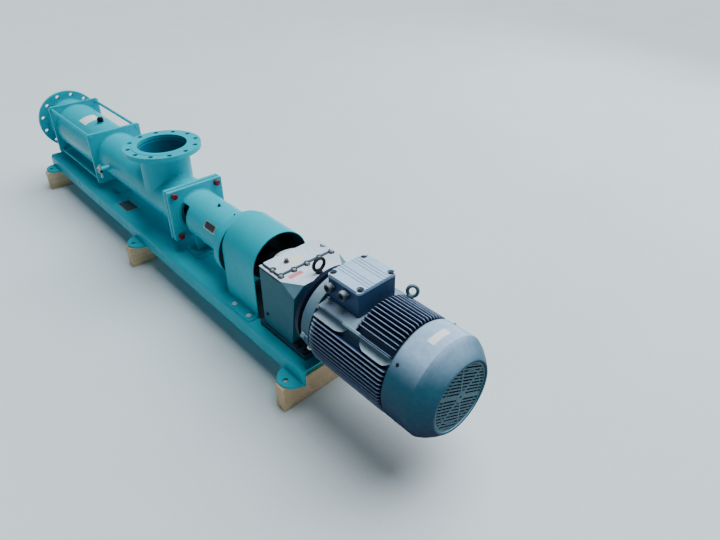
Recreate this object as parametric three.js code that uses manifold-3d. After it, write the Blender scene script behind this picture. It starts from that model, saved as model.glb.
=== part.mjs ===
import * as THREE from 'three';
import { mergeVertices } from 'three/addons/utils/BufferGeometryUtils.js';
import { ConvexGeometry } from 'three/addons/geometries/ConvexGeometry.js';
import Module from 'manifold-3d';

// Single screw pump: pump, coupling guard, helical reducer and motor in line on a folded base.
// Millimetres. X runs along the pump axis from the discharge end to the motor, Z is up.
// Inside the machine group the pump axis is y = 0, z = 0 and the suction branch stands at x = 0.

const wasm = await Module();
wasm.setup();

const GAP = 0.3;
const AXIS_HEIGHT = 417;
const X_MIDDLE = 268.5;

// Base, lugs and timber bearers
const BASE = { x0: -1493, x1: 1468, half: 206, top: -207, bottom: -292, sheet: 8, corner: 22 };
const LUG = { xs: [-1412, -68, 1389], radius: 70, thick: 12, holeY: 247, holeR: 11 };
const BEARER = { xs: [-1400, -64, 1396], width: 56, half: 286, bottom: -417 };

// Both pipe flanges share one size
const FLANGE = { r: 202.5, thick: 28, bore: 129, pitchR: 177.5, holeR: 13, holes: 12, faceR: 160, face: 3 };
const DISCHARGE = { face: -1564, neckR: 145, bore: 129 };
const SUCTION = { top: 284, neckR: 132, neckBore: 124 };

// Stator between two square plates with four tie rods
const PLATE_A = { x0: -1383, x1: -1363, half: 164, bore: 129, chamfer: 9 };
const PLATE_B = { x0: -717, x1: -695, half: 163, bore: 118, chamfer: 6 };
const ROD = { y: 146, zTop: 144, zLow: -140, r: 9, nutFlats: 30, nutThick: 14, end: 24 };
const STATOR = { r: 148, inner: 138 };
const PLUG = { x: -900, bossR: 23, bossTop: 156, headR: 19, headTop: 186 };

// Single screw of round section in a slot of twice its pitch
const SCREW = { e: 25, r: 50, slotR: 57, pitch: 300, x0: -1372, x1: -706, neckR: 38, neckEnd: -658 };
const LINK = { headR: 54, x0: -657.7, headLen: 68, rodR: 33, x1: 105 };

// Suction casing, double plate and bearing housing
const CASING = { r: 133, bore: 125, x1: 261 };
const DRAIN = { x: -516, z: 8, r: 15, bore: 9, y: -188, valveR: 20, len: 16, stem: 8, handle: 38 };
const CPLATE = { x0: 261, x1: 283, half: 154, z0: -133, z1: 149, bore: 90 };
const HPLATE = { x0: 291, x1: 313, spigotR: 112, bore: 98 };
const HOUSING = { r: 116, x1: 790, chamberR: 103, chamberEnd: 398, flangeR: 165, flangeX0: 748 };
const WINDOW = { x0: 318, x1: 393, z: 82 };
const SHAFT = { r: 35, x0: 105.3, x1: 886 };
const GLAND = { bodyR: 70, x0: 283, bodyX1: 338, followerR: 86, x1: 352, bore: 40.5 };

// Coupling and its guard
const COUPLING = { hubR: 58, flangeR: 100, x0: 832, face: 917, x1: 1002 };
const GUARD = { x0: 803, x1: 1054, half: 147.5, centre: 37, sheet: 4, footY: 195, footX0: 850, footX1: 1060 };

// Reducer
const REDUCER = { x0: 1122, lowX1: 1324, topX1: 1362, lean: 80, half: 154, top: 121.5 };
const REDUCER_FOOT = { x0: 1092, x1: 1420, half: 163, top: -185 };
const COVER = { x0: 1128, x1: 1244, half: 137, thick: 10, notchR: 15 };
const COVER_SCREWS = [[1195, -134.5], [1252, -134.5], [1252, -67.5], [1252, 0], [1252, 67.5], [1252, 134.5], [1195, 134.5]];
const BULGE = { x: 1169, r: 98, low: -60, top: 101 };
const VENT = { x: 1193, y: -62 };
const RING_EYE = { x: 1334, r: 35, bore: 21.5, thick: 14, rise: 6 };
const ADAPTER = { r0: 128, r1: 146, ringR: 185, ring0: 1400, ring1: 1420 };

// Motor, its axis a little below the pump axis
const MOTOR = { z: -8, flangeR: 185, shieldR: 196, frame0: 1500, frame1: 1905, finR: 205, rootR: 180, fins: 72 };
const BOX = { x0: 1508, x1: 1682, half: 96, low: 140, lid: 244, rim: 254, top: 260 };
const LID_SCREW = { in: 14, across: 20, r: 15 };
const SEAT = { x1: 1709, outline: [[120, 90], [146, 134], [142, 140], [118, 145], [98, 148]] };
const RAIL = { angle: 43.5, x1: 1893, half: 4, r: 203 };
const PAD = { angle: 36.5, r: 203, scoop: [166, 132, 25] };
const PAD_SHORT = [[1503, 17], [1503, -12], [1512, -17], [1600, -18], [1640, -14], [1660, -5], [1670, 8], [1672, 17]];
const PAD_LONG = [[1741, 17], [1741, 5], [1748, -6], [1765, -13], [1800, -18], [1850, -19], [1880, -14], [1897, 0], [1903, 17]];
const CABLE = { y: -96, len: 26, r: 22, bore: 14, at: [[1532, 207], [1612, 214]] };
const LIFT = { x: 1744, angle: 58, seat: 205, r: 27, bore: 13, thick: 16, turn: 35 };
const FAN = { x0: 1911, straight: 2031, x1: 2101, r: 203, mouth: 148, wall: 4, shield: 1925 };

function paint(hex, roughness, metalness = 0.1) {
  return new THREE.MeshStandardMaterial({ color: hex, roughness, metalness });
}

const teal = paint(0x0a9aaa, 0.35);
const slate = paint(0x5f7488, 0.45);
const timber = paint(0xc9a878, 0.85, 0);
const rubber = paint(0x1b1c1e, 0.8, 0);
const steel = paint(0xb4b8bb, 0.35, 0.9);
const darkSteel = paint(0x2c3138, 0.5, 0.6);
const brass = paint(0x9a7442, 0.4, 0.8);
const black = paint(0x15181c, 0.6, 0);

// Turn a geometry into a solid: merge its corners, drop slivers at an axis, face it outward
function toSolid(geometry) {
  let g = geometry.clone();
  g.deleteAttribute('normal');
  g.deleteAttribute('uv');
  g = mergeVertices(g, 1e-3);
  const p = g.attributes.position.array;
  const index = g.index.array;
  const tris = [];
  let volume = 0;
  for (let i = 0; i < index.length; i += 3) {
    const [a, b, c] = [index[i], index[i + 1], index[i + 2]];
    if (a === b || b === c || a === c) continue;
    tris.push([a, b, c]);
    const va = new THREE.Vector3().fromArray(p, 3 * a);
    const vb = new THREE.Vector3().fromArray(p, 3 * b);
    const vc = new THREE.Vector3().fromArray(p, 3 * c);
    volume += va.dot(vb.cross(vc));
  }
  const order = volume < 0 ? tris.map(([a, b, c]) => [a, c, b]) : tris;
  const mesh = new wasm.Mesh({
    numProp: 3,
    vertProperties: Float32Array.from(p),
    triVerts: Uint32Array.from(order.flat()),
  });
  return new wasm.Manifold(mesh);
}

function toGeometry(solid) {
  const mesh = solid.getMesh();
  const g = new THREE.BufferGeometry();
  const points = new Float32Array(mesh.vertProperties.length / mesh.numProp * 3);
  for (let i = 0; i < points.length / 3; i++) {
    for (let k = 0; k < 3; k++) points[3 * i + k] = mesh.vertProperties[mesh.numProp * i + k];
  }
  g.setAttribute('position', new THREE.BufferAttribute(points, 3));
  g.setIndex(new THREE.BufferAttribute(Uint32Array.from(mesh.triVerts), 1));
  g.computeVertexNormals();
  return g;
}

function circle(r, n = 32, u = 0, v = 0, turn = 0) {
  const points = [];
  for (let i = 0; i < n; i++) {
    const a = (2 * Math.PI * (i + turn)) / n;
    points.push(new THREE.Vector2(u + r * Math.cos(a), v + r * Math.sin(a)));
  }
  return points;
}

function rectangle(u0, u1, v0, v1, corner = 0, n = 4) {
  if (!corner) return [[u0, v0], [u1, v0], [u1, v1], [u0, v1]].map((p) => new THREE.Vector2(...p));
  const points = [];
  const centres = [[u1 - corner, v1 - corner], [u0 + corner, v1 - corner],
    [u0 + corner, v0 + corner], [u1 - corner, v0 + corner]];
  centres.forEach(([u, v], k) => {
    for (let i = 0; i <= n; i++) {
      const a = (Math.PI / 2) * (k + i / n);
      points.push(new THREE.Vector2(u + corner * Math.cos(a), v + corner * Math.sin(a)));
    }
  });
  return points;
}

// Outline extruded along one axis: x takes (y, z), y takes (x, z), z takes (x, y)
function prism(axis, outline, a, b, holes = []) {
  const shape = new THREE.Shape(outline);
  shape.holes = holes.map((hole) => new THREE.Path(hole));
  const g = new THREE.ExtrudeGeometry(shape, { depth: b - a, bevelEnabled: false, steps: 1 });
  const m = new THREE.Matrix4();
  if (axis === 'x') m.set(0, 0, 1, a, 1, 0, 0, 0, 0, 1, 0, 0, 0, 0, 0, 1);
  if (axis === 'y') m.set(1, 0, 0, 0, 0, 0, -1, b, 0, 1, 0, 0, 0, 0, 0, 1);
  if (axis === 'z') m.makeTranslation(0, 0, a);
  g.applyMatrix4(m);
  return toSolid(g);
}

function box(x0, x1, y0, y1, z0, z1) {
  const g = new THREE.BoxGeometry(x1 - x0, y1 - y0, z1 - z0);
  g.translate((x0 + x1) / 2, (y0 + y1) / 2, (z0 + z1) / 2);
  return toSolid(g);
}

function disc(axis, r, a, b, u = 0, v = 0, n = 32, turn = 0) {
  return prism(axis, circle(r, n, u, v, turn), a, b);
}

// Profile of [along, radius] turned about the X axis, or about Z
function turned(profile, n = 40, axis = 'x') {
  const g = new THREE.LatheGeometry(profile.map(([t, r]) => new THREE.Vector2(r, t)), n);
  if (axis === 'x') g.rotateZ(-Math.PI / 2);
  if (axis === 'z') g.rotateX(Math.PI / 2);
  return toSolid(g);
}

function ring(axis, outer, inner, a, b, u = 0, v = 0, n = 36) {
  return prism(axis, circle(outer, n, u, v), a, b, [circle(inner, n, u, v)]);
}

// Solid through a row of loops of equal length, closed by a fan at each end
function throughLoops(loops) {
  const n = loops[0].length;
  const points = loops.flat();
  const index = [];
  for (let s = 0; s < loops.length - 1; s++) {
    for (let i = 0; i < n; i++) {
      const j = (i + 1) % n;
      const [a, b, c, d] = [s * n + i, s * n + j, (s + 1) * n + j, (s + 1) * n + i];
      index.push(a, b, c, a, c, d);
    }
  }
  for (const [first, flip] of [[0, true], [(loops.length - 1) * n, false]]) {
    const centre = new THREE.Vector3();
    for (let i = 0; i < n; i++) centre.add(points[first + i]);
    points.push(centre.divideScalar(n));
    for (let i = 0; i < n; i++) {
      const j = (i + 1) % n;
      if (flip) index.push(points.length - 1, first + j, first + i);
      else index.push(points.length - 1, first + i, first + j);
    }
  }
  const g = new THREE.BufferGeometry().setFromPoints(points);
  g.setIndex(index);
  return toSolid(g);
}

function hull(points) {
  return toSolid(new ConvexGeometry(points.map((p) => new THREE.Vector3(...p))));
}

function join(first, ...rest) {
  return rest.reduce((a, b) => a.add(b), first);
}

function cut(first, ...rest) {
  return rest.reduce((a, b) => a.subtract(b), first);
}

function chamferedSquare(half, c) {
  const h = half;
  return [[h, h - c], [h - c, h], [c - h, h], [-h, h - c], [-h, c - h], [c - h, -h], [h - c, -h], [h, c - h]]
    .map((p) => new THREE.Vector2(...p));
}

const machine = new THREE.Group();
machine.position.set(-X_MIDDLE, 0, AXIS_HEIGHT);

function add(name, solid, material, parent = machine) {
  const mesh = new THREE.Mesh(toGeometry(solid), material);
  mesh.name = name;
  parent.add(mesh);
  return mesh;
}

// Folded channel with rounded top edges, open below and at both ends, and its six half-round lugs
function channelOutline(half, top, corner) {
  const points = [new THREE.Vector2(-half, BASE.bottom)];
  for (const [side, from] of [[-1, 180], [1, 90]]) {
    for (let i = 0; i <= 5; i++) {
      const a = THREE.MathUtils.degToRad(from - 18 * i);
      points.push(new THREE.Vector2(side * (half - corner) + corner * Math.cos(a), top - corner + corner * Math.sin(a)));
    }
  }
  points.push(new THREE.Vector2(half, BASE.bottom));
  return points;
}

function baseChannel() {
  const t = BASE.sheet;
  const outer = prism('x', channelOutline(BASE.half, BASE.top, BASE.corner), BASE.x0, BASE.x1);
  const inner = prism('x', channelOutline(BASE.half - t, BASE.top - t, BASE.corner - t), BASE.x0 - 10, BASE.x1 + 10);
  let solid = cut(outer, inner);
  for (const x of LUG.xs) {
    for (const side of [-1, 1]) {
      const edge = side * (BASE.half - t / 2);
      const reach = LUG.radius + t / 2;
      const outline = [];
      for (let i = 0; i <= 12; i++) {
        const a = (Math.PI * i) / 12;
        outline.push(new THREE.Vector2(x + LUG.radius * Math.cos(a), edge + side * reach * Math.sin(a)));
      }
      const hole = circle(LUG.holeR, 12, x, side * LUG.holeY);
      solid = join(solid, prism('z', outline, BASE.bottom, BASE.bottom + LUG.thick, [hole]));
    }
  }
  return solid;
}

function bearer(x) {
  const w = BEARER.width / 2;
  return box(x - w, x + w, -BEARER.half, BEARER.half, BEARER.bottom, BASE.bottom);
}

function flangeHoles() {
  const holes = [];
  for (let i = 0; i < FLANGE.holes; i++) {
    const a = ((i + 0.5) * 2 * Math.PI) / FLANGE.holes;
    holes.push(circle(FLANGE.holeR, 8, FLANGE.pitchR * Math.cos(a), FLANGE.pitchR * Math.sin(a)));
  }
  return holes;
}

function dischargeBranch() {
  const { face, neckR, bore } = DISCHARGE;
  const plate = prism('x', circle(FLANGE.r, 32), face + FLANGE.face, face + FLANGE.thick,
    [circle(bore, 28), ...flangeHoles()]);
  const raised = ring('x', FLANGE.faceR, bore, face, face + FLANGE.face + 1, 0, 0, 28);
  const neck = ring('x', neckR, bore, face + FLANGE.thick - 1, PLATE_A.x0, 0, 0, 28);
  return join(plate, raised, neck);
}

function suctionFlange() {
  const z0 = SUCTION.top - FLANGE.thick;
  const plate = prism('z', circle(FLANGE.r, 32), z0, SUCTION.top - FLANGE.face,
    [circle(FLANGE.bore, 28), ...flangeHoles()]);
  const raised = ring('z', FLANGE.faceR, FLANGE.bore, SUCTION.top - FLANGE.face - 1, SUCTION.top, 0, 0, 28);
  return join(plate, raised);
}

function rodHoles(plate) {
  const holes = [];
  for (const y of [-ROD.y, ROD.y]) {
    for (const z of [ROD.zTop, ROD.zLow]) holes.push(circle(ROD.r + GAP, 10, y, z));
  }
  return prism('x', chamferedSquare(plate.half, plate.chamfer), plate.x0, plate.x1, [circle(plate.bore, 28), ...holes]);
}

// Rod with a hexagon nut and a thread end outside each plate
function tieRod(y, z) {
  const { r, nutFlats, nutThick, end } = ROD;
  const hexR = nutFlats / Math.sqrt(3);
  return join(
    disc('x', r, PLATE_A.x0 - end, PLATE_B.x1 + end, y, z, 10),
    disc('x', hexR, PLATE_A.x0 - nutThick, PLATE_A.x0, y, z, 6),
    disc('x', hexR, PLATE_B.x1, PLATE_B.x1 + nutThick, y, z, 6),
  );
}

function statorTube() {
  const tube = ring('x', STATOR.r, STATOR.inner, PLATE_A.x1, PLATE_B.x0, 0, 0, 32);
  const boss = cut(disc('z', PLUG.bossR, 100, PLUG.bossTop, PLUG.x, 0, 16),
    disc('x', STATOR.r - 4, PLUG.x - 50, PLUG.x + 50, 0, 0, 32));
  return join(tube, boss);
}

function slotOutline() {
  const half = 2 * SCREW.e;
  const points = [];
  for (const side of [1, -1]) {
    for (let i = 0; i <= 7; i++) {
      const a = Math.PI * (i / 7 - 0.5);
      points.push(new THREE.Vector2(side * (half + SCREW.slotR * Math.cos(a)), side * SCREW.slotR * Math.sin(a)));
    }
    for (const t of [0.5, 0, -0.5]) points.push(new THREE.Vector2(side * half * t, side * SCREW.slotR));
  }
  return points;
}

// Rubber lining: the slot has round ends and turns once in two pitches of the screw
function statorLiner() {
  const step = 24;
  const loops = [];
  const from = PLATE_A.x1 - 20;
  const count = Math.ceil((PLATE_B.x0 + 20 - from) / step);
  for (let s = 0; s <= count; s++) {
    const x = from + s * step;
    const turn = (Math.PI * x) / SCREW.pitch;
    const [c, d] = [Math.cos(turn), Math.sin(turn)];
    loops.push(slotOutline().map((p) => new THREE.Vector3(x, p.x * c - p.y * d, p.x * d + p.y * c)));
  }
  return cut(disc('x', STATOR.inner - GAP, PLATE_A.x1, PLATE_B.x0, 0, 0, 32), throughLoops(loops));
}

// Steel screw: a round section whose centre circles the screw's own axis, then a straight neck
function rotor() {
  const steps = 30;
  const loops = [];
  for (let s = 0; s <= steps; s++) {
    const x = SCREW.x0 + ((SCREW.x1 - SCREW.x0) * s) / steps;
    const turn = (2 * Math.PI * x) / SCREW.pitch;
    const y = SCREW.e * (1 + Math.cos(turn));
    const z = SCREW.e * Math.sin(turn);
    loops.push(circle(SCREW.r, 16).map((p) => new THREE.Vector3(x, y + p.x, z + p.y)));
  }
  return join(throughLoops(loops), disc('x', SCREW.neckR, SCREW.x1 - 5, SCREW.neckEnd, SCREW.e, 0, 16));
}

// Rod with a round head at each end, one on the screw's axis and one on the pump axis
function connectingRod() {
  const { headR, x0, headLen, rodR, x1 } = LINK;
  const slope = [x0 + headLen - 20, x1 - headLen + 20];
  const loops = slope.map((x, i) => circle(rodR, 16).map((p) => new THREE.Vector3(x, SCREW.e * (1 - i) + p.x, p.y)));
  return join(
    disc('x', headR, x0, x0 + headLen, SCREW.e, 0, 16),
    throughLoops(loops),
    disc('x', headR, x1 - headLen, x1, 0, 0, 16),
  );
}

// Tube with the upright neck let into it and the drain stub on the -Y side
function suctionCasing() {
  const outer = join(
    disc('x', CASING.r, PLATE_B.x1, CASING.x1, 0, 0, 32),
    disc('z', SUCTION.neckR, 0, SUCTION.top - FLANGE.thick, 0, 0, 32),
    disc('y', DRAIN.r, DRAIN.y, -110, DRAIN.x, DRAIN.z, 14),
  );
  return cut(
    outer,
    disc('x', CASING.bore, PLATE_B.x1 - 5, CASING.x1 + 5, 0, 0, 32),
    disc('z', SUCTION.neckBore, 0, SUCTION.top, 0, 0, 32),
    disc('y', DRAIN.bore, DRAIN.y - 5, -100, DRAIN.x, DRAIN.z, 14),
  );
}

function drainValveBody() {
  const { x, z, y, valveR, len, stem } = DRAIN;
  return cut(
    join(
      disc('y', valveR, y - len, y, x, z, 16),
      disc('x', 8, x + 10, x + 24, y - stem, z, 14),
    ),
    disc('y', DRAIN.bore, y - len - 5, y + 5, x, z, 14),
  );
}

// Two-winged handle on the stem, modelled about the stem's axis
function drainValveLever() {
  const { handle } = DRAIN;
  return join(
    disc('x', 9, 24 + GAP, 31, 0, 0, 16),
    box(26, 31, -6, 6, -handle, handle),
    disc('x', 7, 26, 31, 0, -handle, 12),
    disc('x', 7, 26, 31, 0, handle, 12),
  );
}

function squarePlate(x0, x1, bore) {
  return prism('x', rectangle(-CPLATE.half, CPLATE.half, CPLATE.z0, CPLATE.z1), x0, x1, [circle(bore, 28)]);
}

function housingPlate() {
  const spigot = ring('x', HPLATE.spigotR, HPLATE.bore, CPLATE.x1, HPLATE.x0 + 1, 0, 0, 28);
  return join(squarePlate(HPLATE.x0, HPLATE.x1, HPLATE.bore), spigot);
}

// Stuffing box face to face with the casing plate, and its follower
function gland() {
  return join(
    ring('x', GLAND.bodyR, GLAND.bore, GLAND.x0, GLAND.bodyX1, 0, 0, 20),
    ring('x', GLAND.followerR, GLAND.bore, GLAND.bodyX1 - 1, GLAND.x1, 0, 0, 20),
  );
}

function casingPlate() {
  return squarePlate(CPLATE.x0, CPLATE.x1, 50);
}

function bearingHousing() {
  const shell = turned([
    [HPLATE.x1, HOUSING.chamberR], [HPLATE.x1, HOUSING.r], [508, HOUSING.r], [512, HOUSING.r + 2],
    [HOUSING.flangeX0, HOUSING.r + 2], [HOUSING.flangeX0, HOUSING.flangeR], [HOUSING.x1, HOUSING.flangeR],
    [HOUSING.x1, SHAFT.r + 0.6], [HOUSING.chamberEnd, SHAFT.r + 0.6], [HOUSING.chamberEnd, HOUSING.chamberR],
    [HPLATE.x1, HOUSING.chamberR],
  ], 32);
  const window = box(WINDOW.x0, WINDOW.x1, -140, 140, -WINDOW.z, WINDOW.z);
  return cut(shell, window);
}

// Foot: plate on the base, cross web and rib up to the round body above it
function foot(x0, x1, half, webX, webHalf, r) {
  const top = BASE.top + 10;
  const plate = prism('z', rectangle(x0, x1, -half, half, 14), BASE.top, top);
  const web = box(webX - 7, webX + 7, -webHalf, webHalf, top - 1, 0);
  const rib = box(x0 + 20, x1 - 20, -6, 6, top - 1, 0);
  return cut(join(plate, web, rib), disc('x', r + GAP, x0 - 50, x1 + 50, 0, 0, 32));
}

function driveShaft() {
  return join(
    disc('x', 54, SHAFT.x0, SHAFT.x0 + 60, 0, 0, 16),
    disc('x', SHAFT.r, SHAFT.x0 + 59, SHAFT.x1, 0, 0, 16),
  );
}

function couplingPumpHalf() {
  const { hubR, flangeR, x0, face } = COUPLING;
  const outer = turned([[x0, 0], [x0, hubR], [face - 27, hubR], [face - 27, flangeR], [face, flangeR], [face, 0]], 20);
  return cut(outer, disc('x', SHAFT.r + GAP, x0 - 5, SHAFT.x1 + 1, 0, 0, 16));
}

function couplingDriveHalf() {
  const { hubR, flangeR, x1, face } = COUPLING;
  return turned([[face, 0], [face, flangeR], [face + 27, flangeR], [face + 27, hubR], [x1, hubR], [x1, SHAFT.r],
    [REDUCER.x0 + 60, SHAFT.r], [REDUCER.x0 + 60, 0]], 20);
}

function archOutline(half, low) {
  const points = [new THREE.Vector2(half, low)];
  for (let i = 0; i <= 20; i++) {
    const a = (Math.PI * i) / 20;
    points.push(new THREE.Vector2(half * Math.cos(a), GUARD.centre + half * Math.sin(a)));
  }
  points.push(new THREE.Vector2(-half, low));
  return points;
}

function couplingGuard() {
  const { x0, x1, half, sheet, footY, footX0, footX1 } = GUARD;
  const arch = cut(
    prism('x', archOutline(half, BASE.top), x0, x1),
    prism('x', archOutline(half - sheet, BASE.top - 5), x0 - 5, x1 + 5),
  );
  const feet = [-1, 1].map((side) => {
    const outline = rectangle(footX0, footX1, Math.min(side * (half - 2), side * footY), Math.max(side * (half - 2), side * footY), 16);
    return prism('z', outline, BASE.top, BASE.top + 6);
  });
  const straight = [-1, 1].map((side) => box(footX0 + 16, x1, Math.min(side * (half - 2), side * (half + 18)),
    Math.max(side * (half - 2), side * (half + 18)), BASE.top, BASE.top + 6));
  const inside = box(x0 - 5, footX1 + 20, -(half - sheet), half - sheet, BASE.top - 5, 0);
  return cut(join(arch, ...feet, ...straight), inside);
}

// Everything on the pump side of the case's leaning motor-side wall
function behindCase(low, top, half) {
  const { x0, lowX1, topX1, lean } = REDUCER;
  const outline = [[-half, 0], [half, 0]];
  const slope = (topX1 - lowX1) / (lean + 188);
  const points = [[x0, low], [lowX1 + slope * (low + 188), low], [topX1, lean], [topX1, top], [x0, top]];
  return hull(outline.flatMap(([y]) => points.map(([x, z]) => [x, y, z])));
}

// Case with a leaning motor-side wall, facets at its top corners, a rounded nose and a foot under the adapter
function reducerCase() {
  const { x0, topX1, half, top } = REDUCER;
  const { x0: f0, x1: f1, half: footHalf, top: footTop } = REDUCER_FOOT;
  let solid = join(
    behindCase(-188, top, half),
    prism('z', rectangle(f0, f1, -footHalf, footHalf, 10), BASE.top, footTop),
    disc('x', 85, x0 - 32, x0 + 1, 0, 0, 24),
    disc('z', BULGE.r, BULGE.low, BULGE.top, BULGE.x, 0, 40),
  );
  for (const side of [-1, 1]) {
    solid = cut(solid, hull([
      [topX1 - 86, side * (half + 0.5), top + 1], [topX1 + 1, side * 99, top + 1], [topX1 + 1, side * (half + 0.5), 78],
      [topX1 + 1, side * (half + 6), top + 1], [topX1 + 1, side * (half + 6), 78],
    ]));
  }
  return cut(solid, disc('x', SHAFT.r + 0.7, x0 - 60, x0 + 66, 0, 0, 16));
}

// Raised top cover, notched round its screws
function reducerCover() {
  const { x0, x1, half, thick, notchR } = COVER;
  const [z0, z1] = [REDUCER.top, REDUCER.top + thick];
  const notches = COVER_SCREWS.map(([x, y]) => disc('z', notchR, z0 - 1, z1 + 1, x, y, 16));
  return cut(prism('z', rectangle(x0, x1, -half, half, 5, 3), z0, z1), ...notches);
}

function reducerVent() {
  const z0 = REDUCER.top + COVER.thick;
  return join(disc('z', 12, z0, z0 + 7, VENT.x, VENT.y, 6), disc('z', 9, z0 + 6, z0 + 17, VENT.x, VENT.y, 16));
}

// Ring eye standing on a round collar; its plane holds the Z axis
function ringEye(r, bore, thick, rise = 0) {
  const loop = ring('y', r, bore, -thick / 2, thick / 2, 0, r + rise, 16);
  return join(loop, cut(disc('z', 15, 0, 14, 0, 0, 16), disc('y', bore, -30, 30, 0, r + rise, 16)));
}

// Bell from the case's leaning wall to the adapter ring
function reducerFlange() {
  const { r0, r1, ringR, ring0, ring1 } = ADAPTER;
  const bell = turned([[1300, 0], [1300, r0], [1366, r0], [1388, r1], [ring0, r1 + 4],
    [ring0, ringR], [ring1, ringR], [ring1, 0]], 32).translate([0, 0, MOTOR.z]);
  return cut(bell, behindCase(-240, 240, 240).translate([GAP, 0, 0]), box(1300, 1440, -200, 200, -230, REDUCER_FOOT.top + GAP));
}

// Turn a solid that points up +Z to an angle counted from +Y round the motor axis
function atAngle(solid, degrees) {
  return solid.rotate([degrees - 90, 0, 0]);
}

function motorFlange() {
  const { flangeR, shieldR, frame0, z } = MOTOR;
  const front = turned([[1420, 0], [1420, 148], [1440, 148], [1440, flangeR], [1446, 189],
    [frame0, shieldR], [frame0, 0]], 40);
  const lugs = [173, 7].map((a) => atAngle(prism('z', rectangle(1453, frame0, -20, 20, 5, 2), 160, 203), a));
  return join(front, ...lugs).translate([0, 0, z]);
}

// Ring of long fins between two angles; the frame wall stays where there is none
function finOutline(from, to) {
  const points = [];
  const pitch = 360 / MOTOR.fins;
  for (let i = 0; i < MOTOR.fins; i++) {
    const middle = (i + 0.5) * pitch;
    const turn = middle < from ? middle + 360 : middle;
    const corners = turn >= from && turn <= to ? [[-0.5, MOTOR.rootR], [-0.17, MOTOR.finR], [0.17, MOTOR.finR]]
      : [[-0.5, MOTOR.rootR]];
    for (const [share, r] of corners) {
      const a = THREE.MathUtils.degToRad(middle + share * pitch);
      points.push(new THREE.Vector2(r * Math.cos(a), r * Math.sin(a)));
    }
  }
  return points;
}

// Pad between the fins: straight above, curved below, scooped out to a level ledge
function framePad(outline) {
  const [y, z, r] = PAD.scoop;
  const block = atAngle(prism('z', outline.map(([x, u]) => new THREE.Vector2(x, -u)), 165, 215), PAD.angle);
  const skin = disc('x', PAD.r, 1490, 1910, 0, 0, 72);
  return cut(block.intersect(skin), disc('x', r, 1490, 1910, y, z, 40));
}

function bothSides(solid) {
  return join(solid, solid.mirror([0, 1, 0]));
}

// Frame: fins, a flat seat for the terminal box, rails and pads beside it, a boss for the eye, rear shield
function motorFrame() {
  const { frame0, frame1, z } = MOTOR;
  const low = prism('x', finOutline(152, 388), frame0, frame1);
  const top = prism('x', finOutline(52, 128), SEAT.x1 - 9, frame1);
  const space = box(frame0 - 5, SEAT.x1 - 12, -125, 125, BOX.low - z, 260);
  const seat = [...SEAT.outline, ...SEAT.outline.map(([y, h]) => [-y, h]).reverse()].map((p) => new THREE.Vector2(...p));
  const rail = atAngle(box(frame0, RAIL.x1, -RAIL.half, RAIL.half, 165, RAIL.r), RAIL.angle);
  const boss = atAngle(disc('z', 20, 150, LIFT.seat, LIFT.x, 0, 20), LIFT.angle);
  const rear = disc('x', FAN.r - FAN.wall - GAP, frame1 - 1, FAN.shield, 0, 0, 32);
  const hub = disc('x', 45, FAN.shield - 1, FAN.shield + 10, 0, 0, 16);
  return join(cut(low, space), top, prism('x', seat, frame0, SEAT.x1), bothSides(rail),
    bothSides(framePad(PAD_SHORT)), bothSides(framePad(PAD_LONG)), boss, rear, hub).translate([0, 0, z]);
}

function terminalBox() {
  const { x0, x1, half, low, lid } = BOX;
  return prism('z', rectangle(x0, x1, -half, half, 8, 2), low, lid);
}

// Lid: low rim with a raised middle that is notched round the corner screws
function terminalLid() {
  const { x0, x1, half, lid, rim, top } = BOX;
  const [a, b, c] = [x0 - 2, x1 + 2, half + 2];
  let raised = prism('z', rectangle(a, b, -c, c, 4, 2), rim - 0.01, top);
  for (const x of [a + LID_SCREW.in, b - LID_SCREW.in]) {
    for (const y of [-c + LID_SCREW.across, c - LID_SCREW.across]) {
      const edge = [x < 1600 ? a - 5 : b + 5, y < 0 ? -c - 5 : c + 5];
      raised = cut(raised,
        disc('z', LID_SCREW.r, rim - 1, top + 1, x, y, 16),
        box(Math.min(x, edge[0]), Math.max(x, edge[0]), Math.min(y, edge[1]), Math.max(y, edge[1]), rim - 1, top + 1));
    }
  }
  return join(prism('z', rectangle(a, b, -c, c, 14, 4), lid, rim), raised);
}

function cableGland([x, z]) {
  const { y, len, r, bore } = CABLE;
  return cut(
    join(disc('y', r, y - 14, y, x, z, 6), disc('y', r - 2, y - len, y - 13, x, z, 16)),
    disc('y', bore, y - len - 5, y - 6, x, z, 16),
  );
}

// Sheet cover: straight, then tapering in a curve to a lip round the grille
function fanCover() {
  const { x0, straight, x1, r, mouth, wall } = FAN;
  const outer = [[x0, r], [straight, r], [2054, 190], [2078, 171], [x1, mouth]];
  const inner = [[x1, mouth - 12], [x1 - wall, mouth - 12], [x1 - wall, mouth - 4], [2075, 167], [2052, 186],
    [straight - 1, r - wall], [x0, r - wall]];
  return turned([...outer, ...inner, [x0, r]], 32).translate([0, 0, MOTOR.z]);
}

function fanGrille() {
  const back = FAN.x1 - FAN.wall - GAP;
  const r = FAN.mouth - 6;
  const slots = [];
  for (let row = -5; row <= 5; row++) {
    const v = row * 22;
    if (row === 0) continue;
    const reach = Math.sqrt((r - 10) ** 2 - (Math.abs(v) + 6) ** 2);
    if (reach < 30) continue;
    slots.push(box(back - 9, back + 5, 7, reach, v - 6, v + 6));
    slots.push(box(back - 9, back + 5, -reach, -7, v - 6, v + 6));
  }
  return cut(disc('x', r, back - 4, back, 0, 0, 28), ...slots).translate([0, 0, MOTOR.z]);
}

function motorFan() {
  const x0 = FAN.shield + 10 + GAP;
  let solid = join(disc('x', 32, x0, x0 + 60, 0, 0, 16), disc('x', 150, x0 + 6, x0 + 11, 0, 0, 20));
  for (let i = 0; i < 6; i++) {
    const blade = new THREE.BoxGeometry(50, 5, 140);
    blade.translate(x0 + 35, 0, 30 + 70);
    blade.rotateX((Math.PI / 3) * i);
    solid = join(solid, toSolid(blade));
  }
  return solid.translate([0, 0, MOTOR.z]);
}

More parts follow.
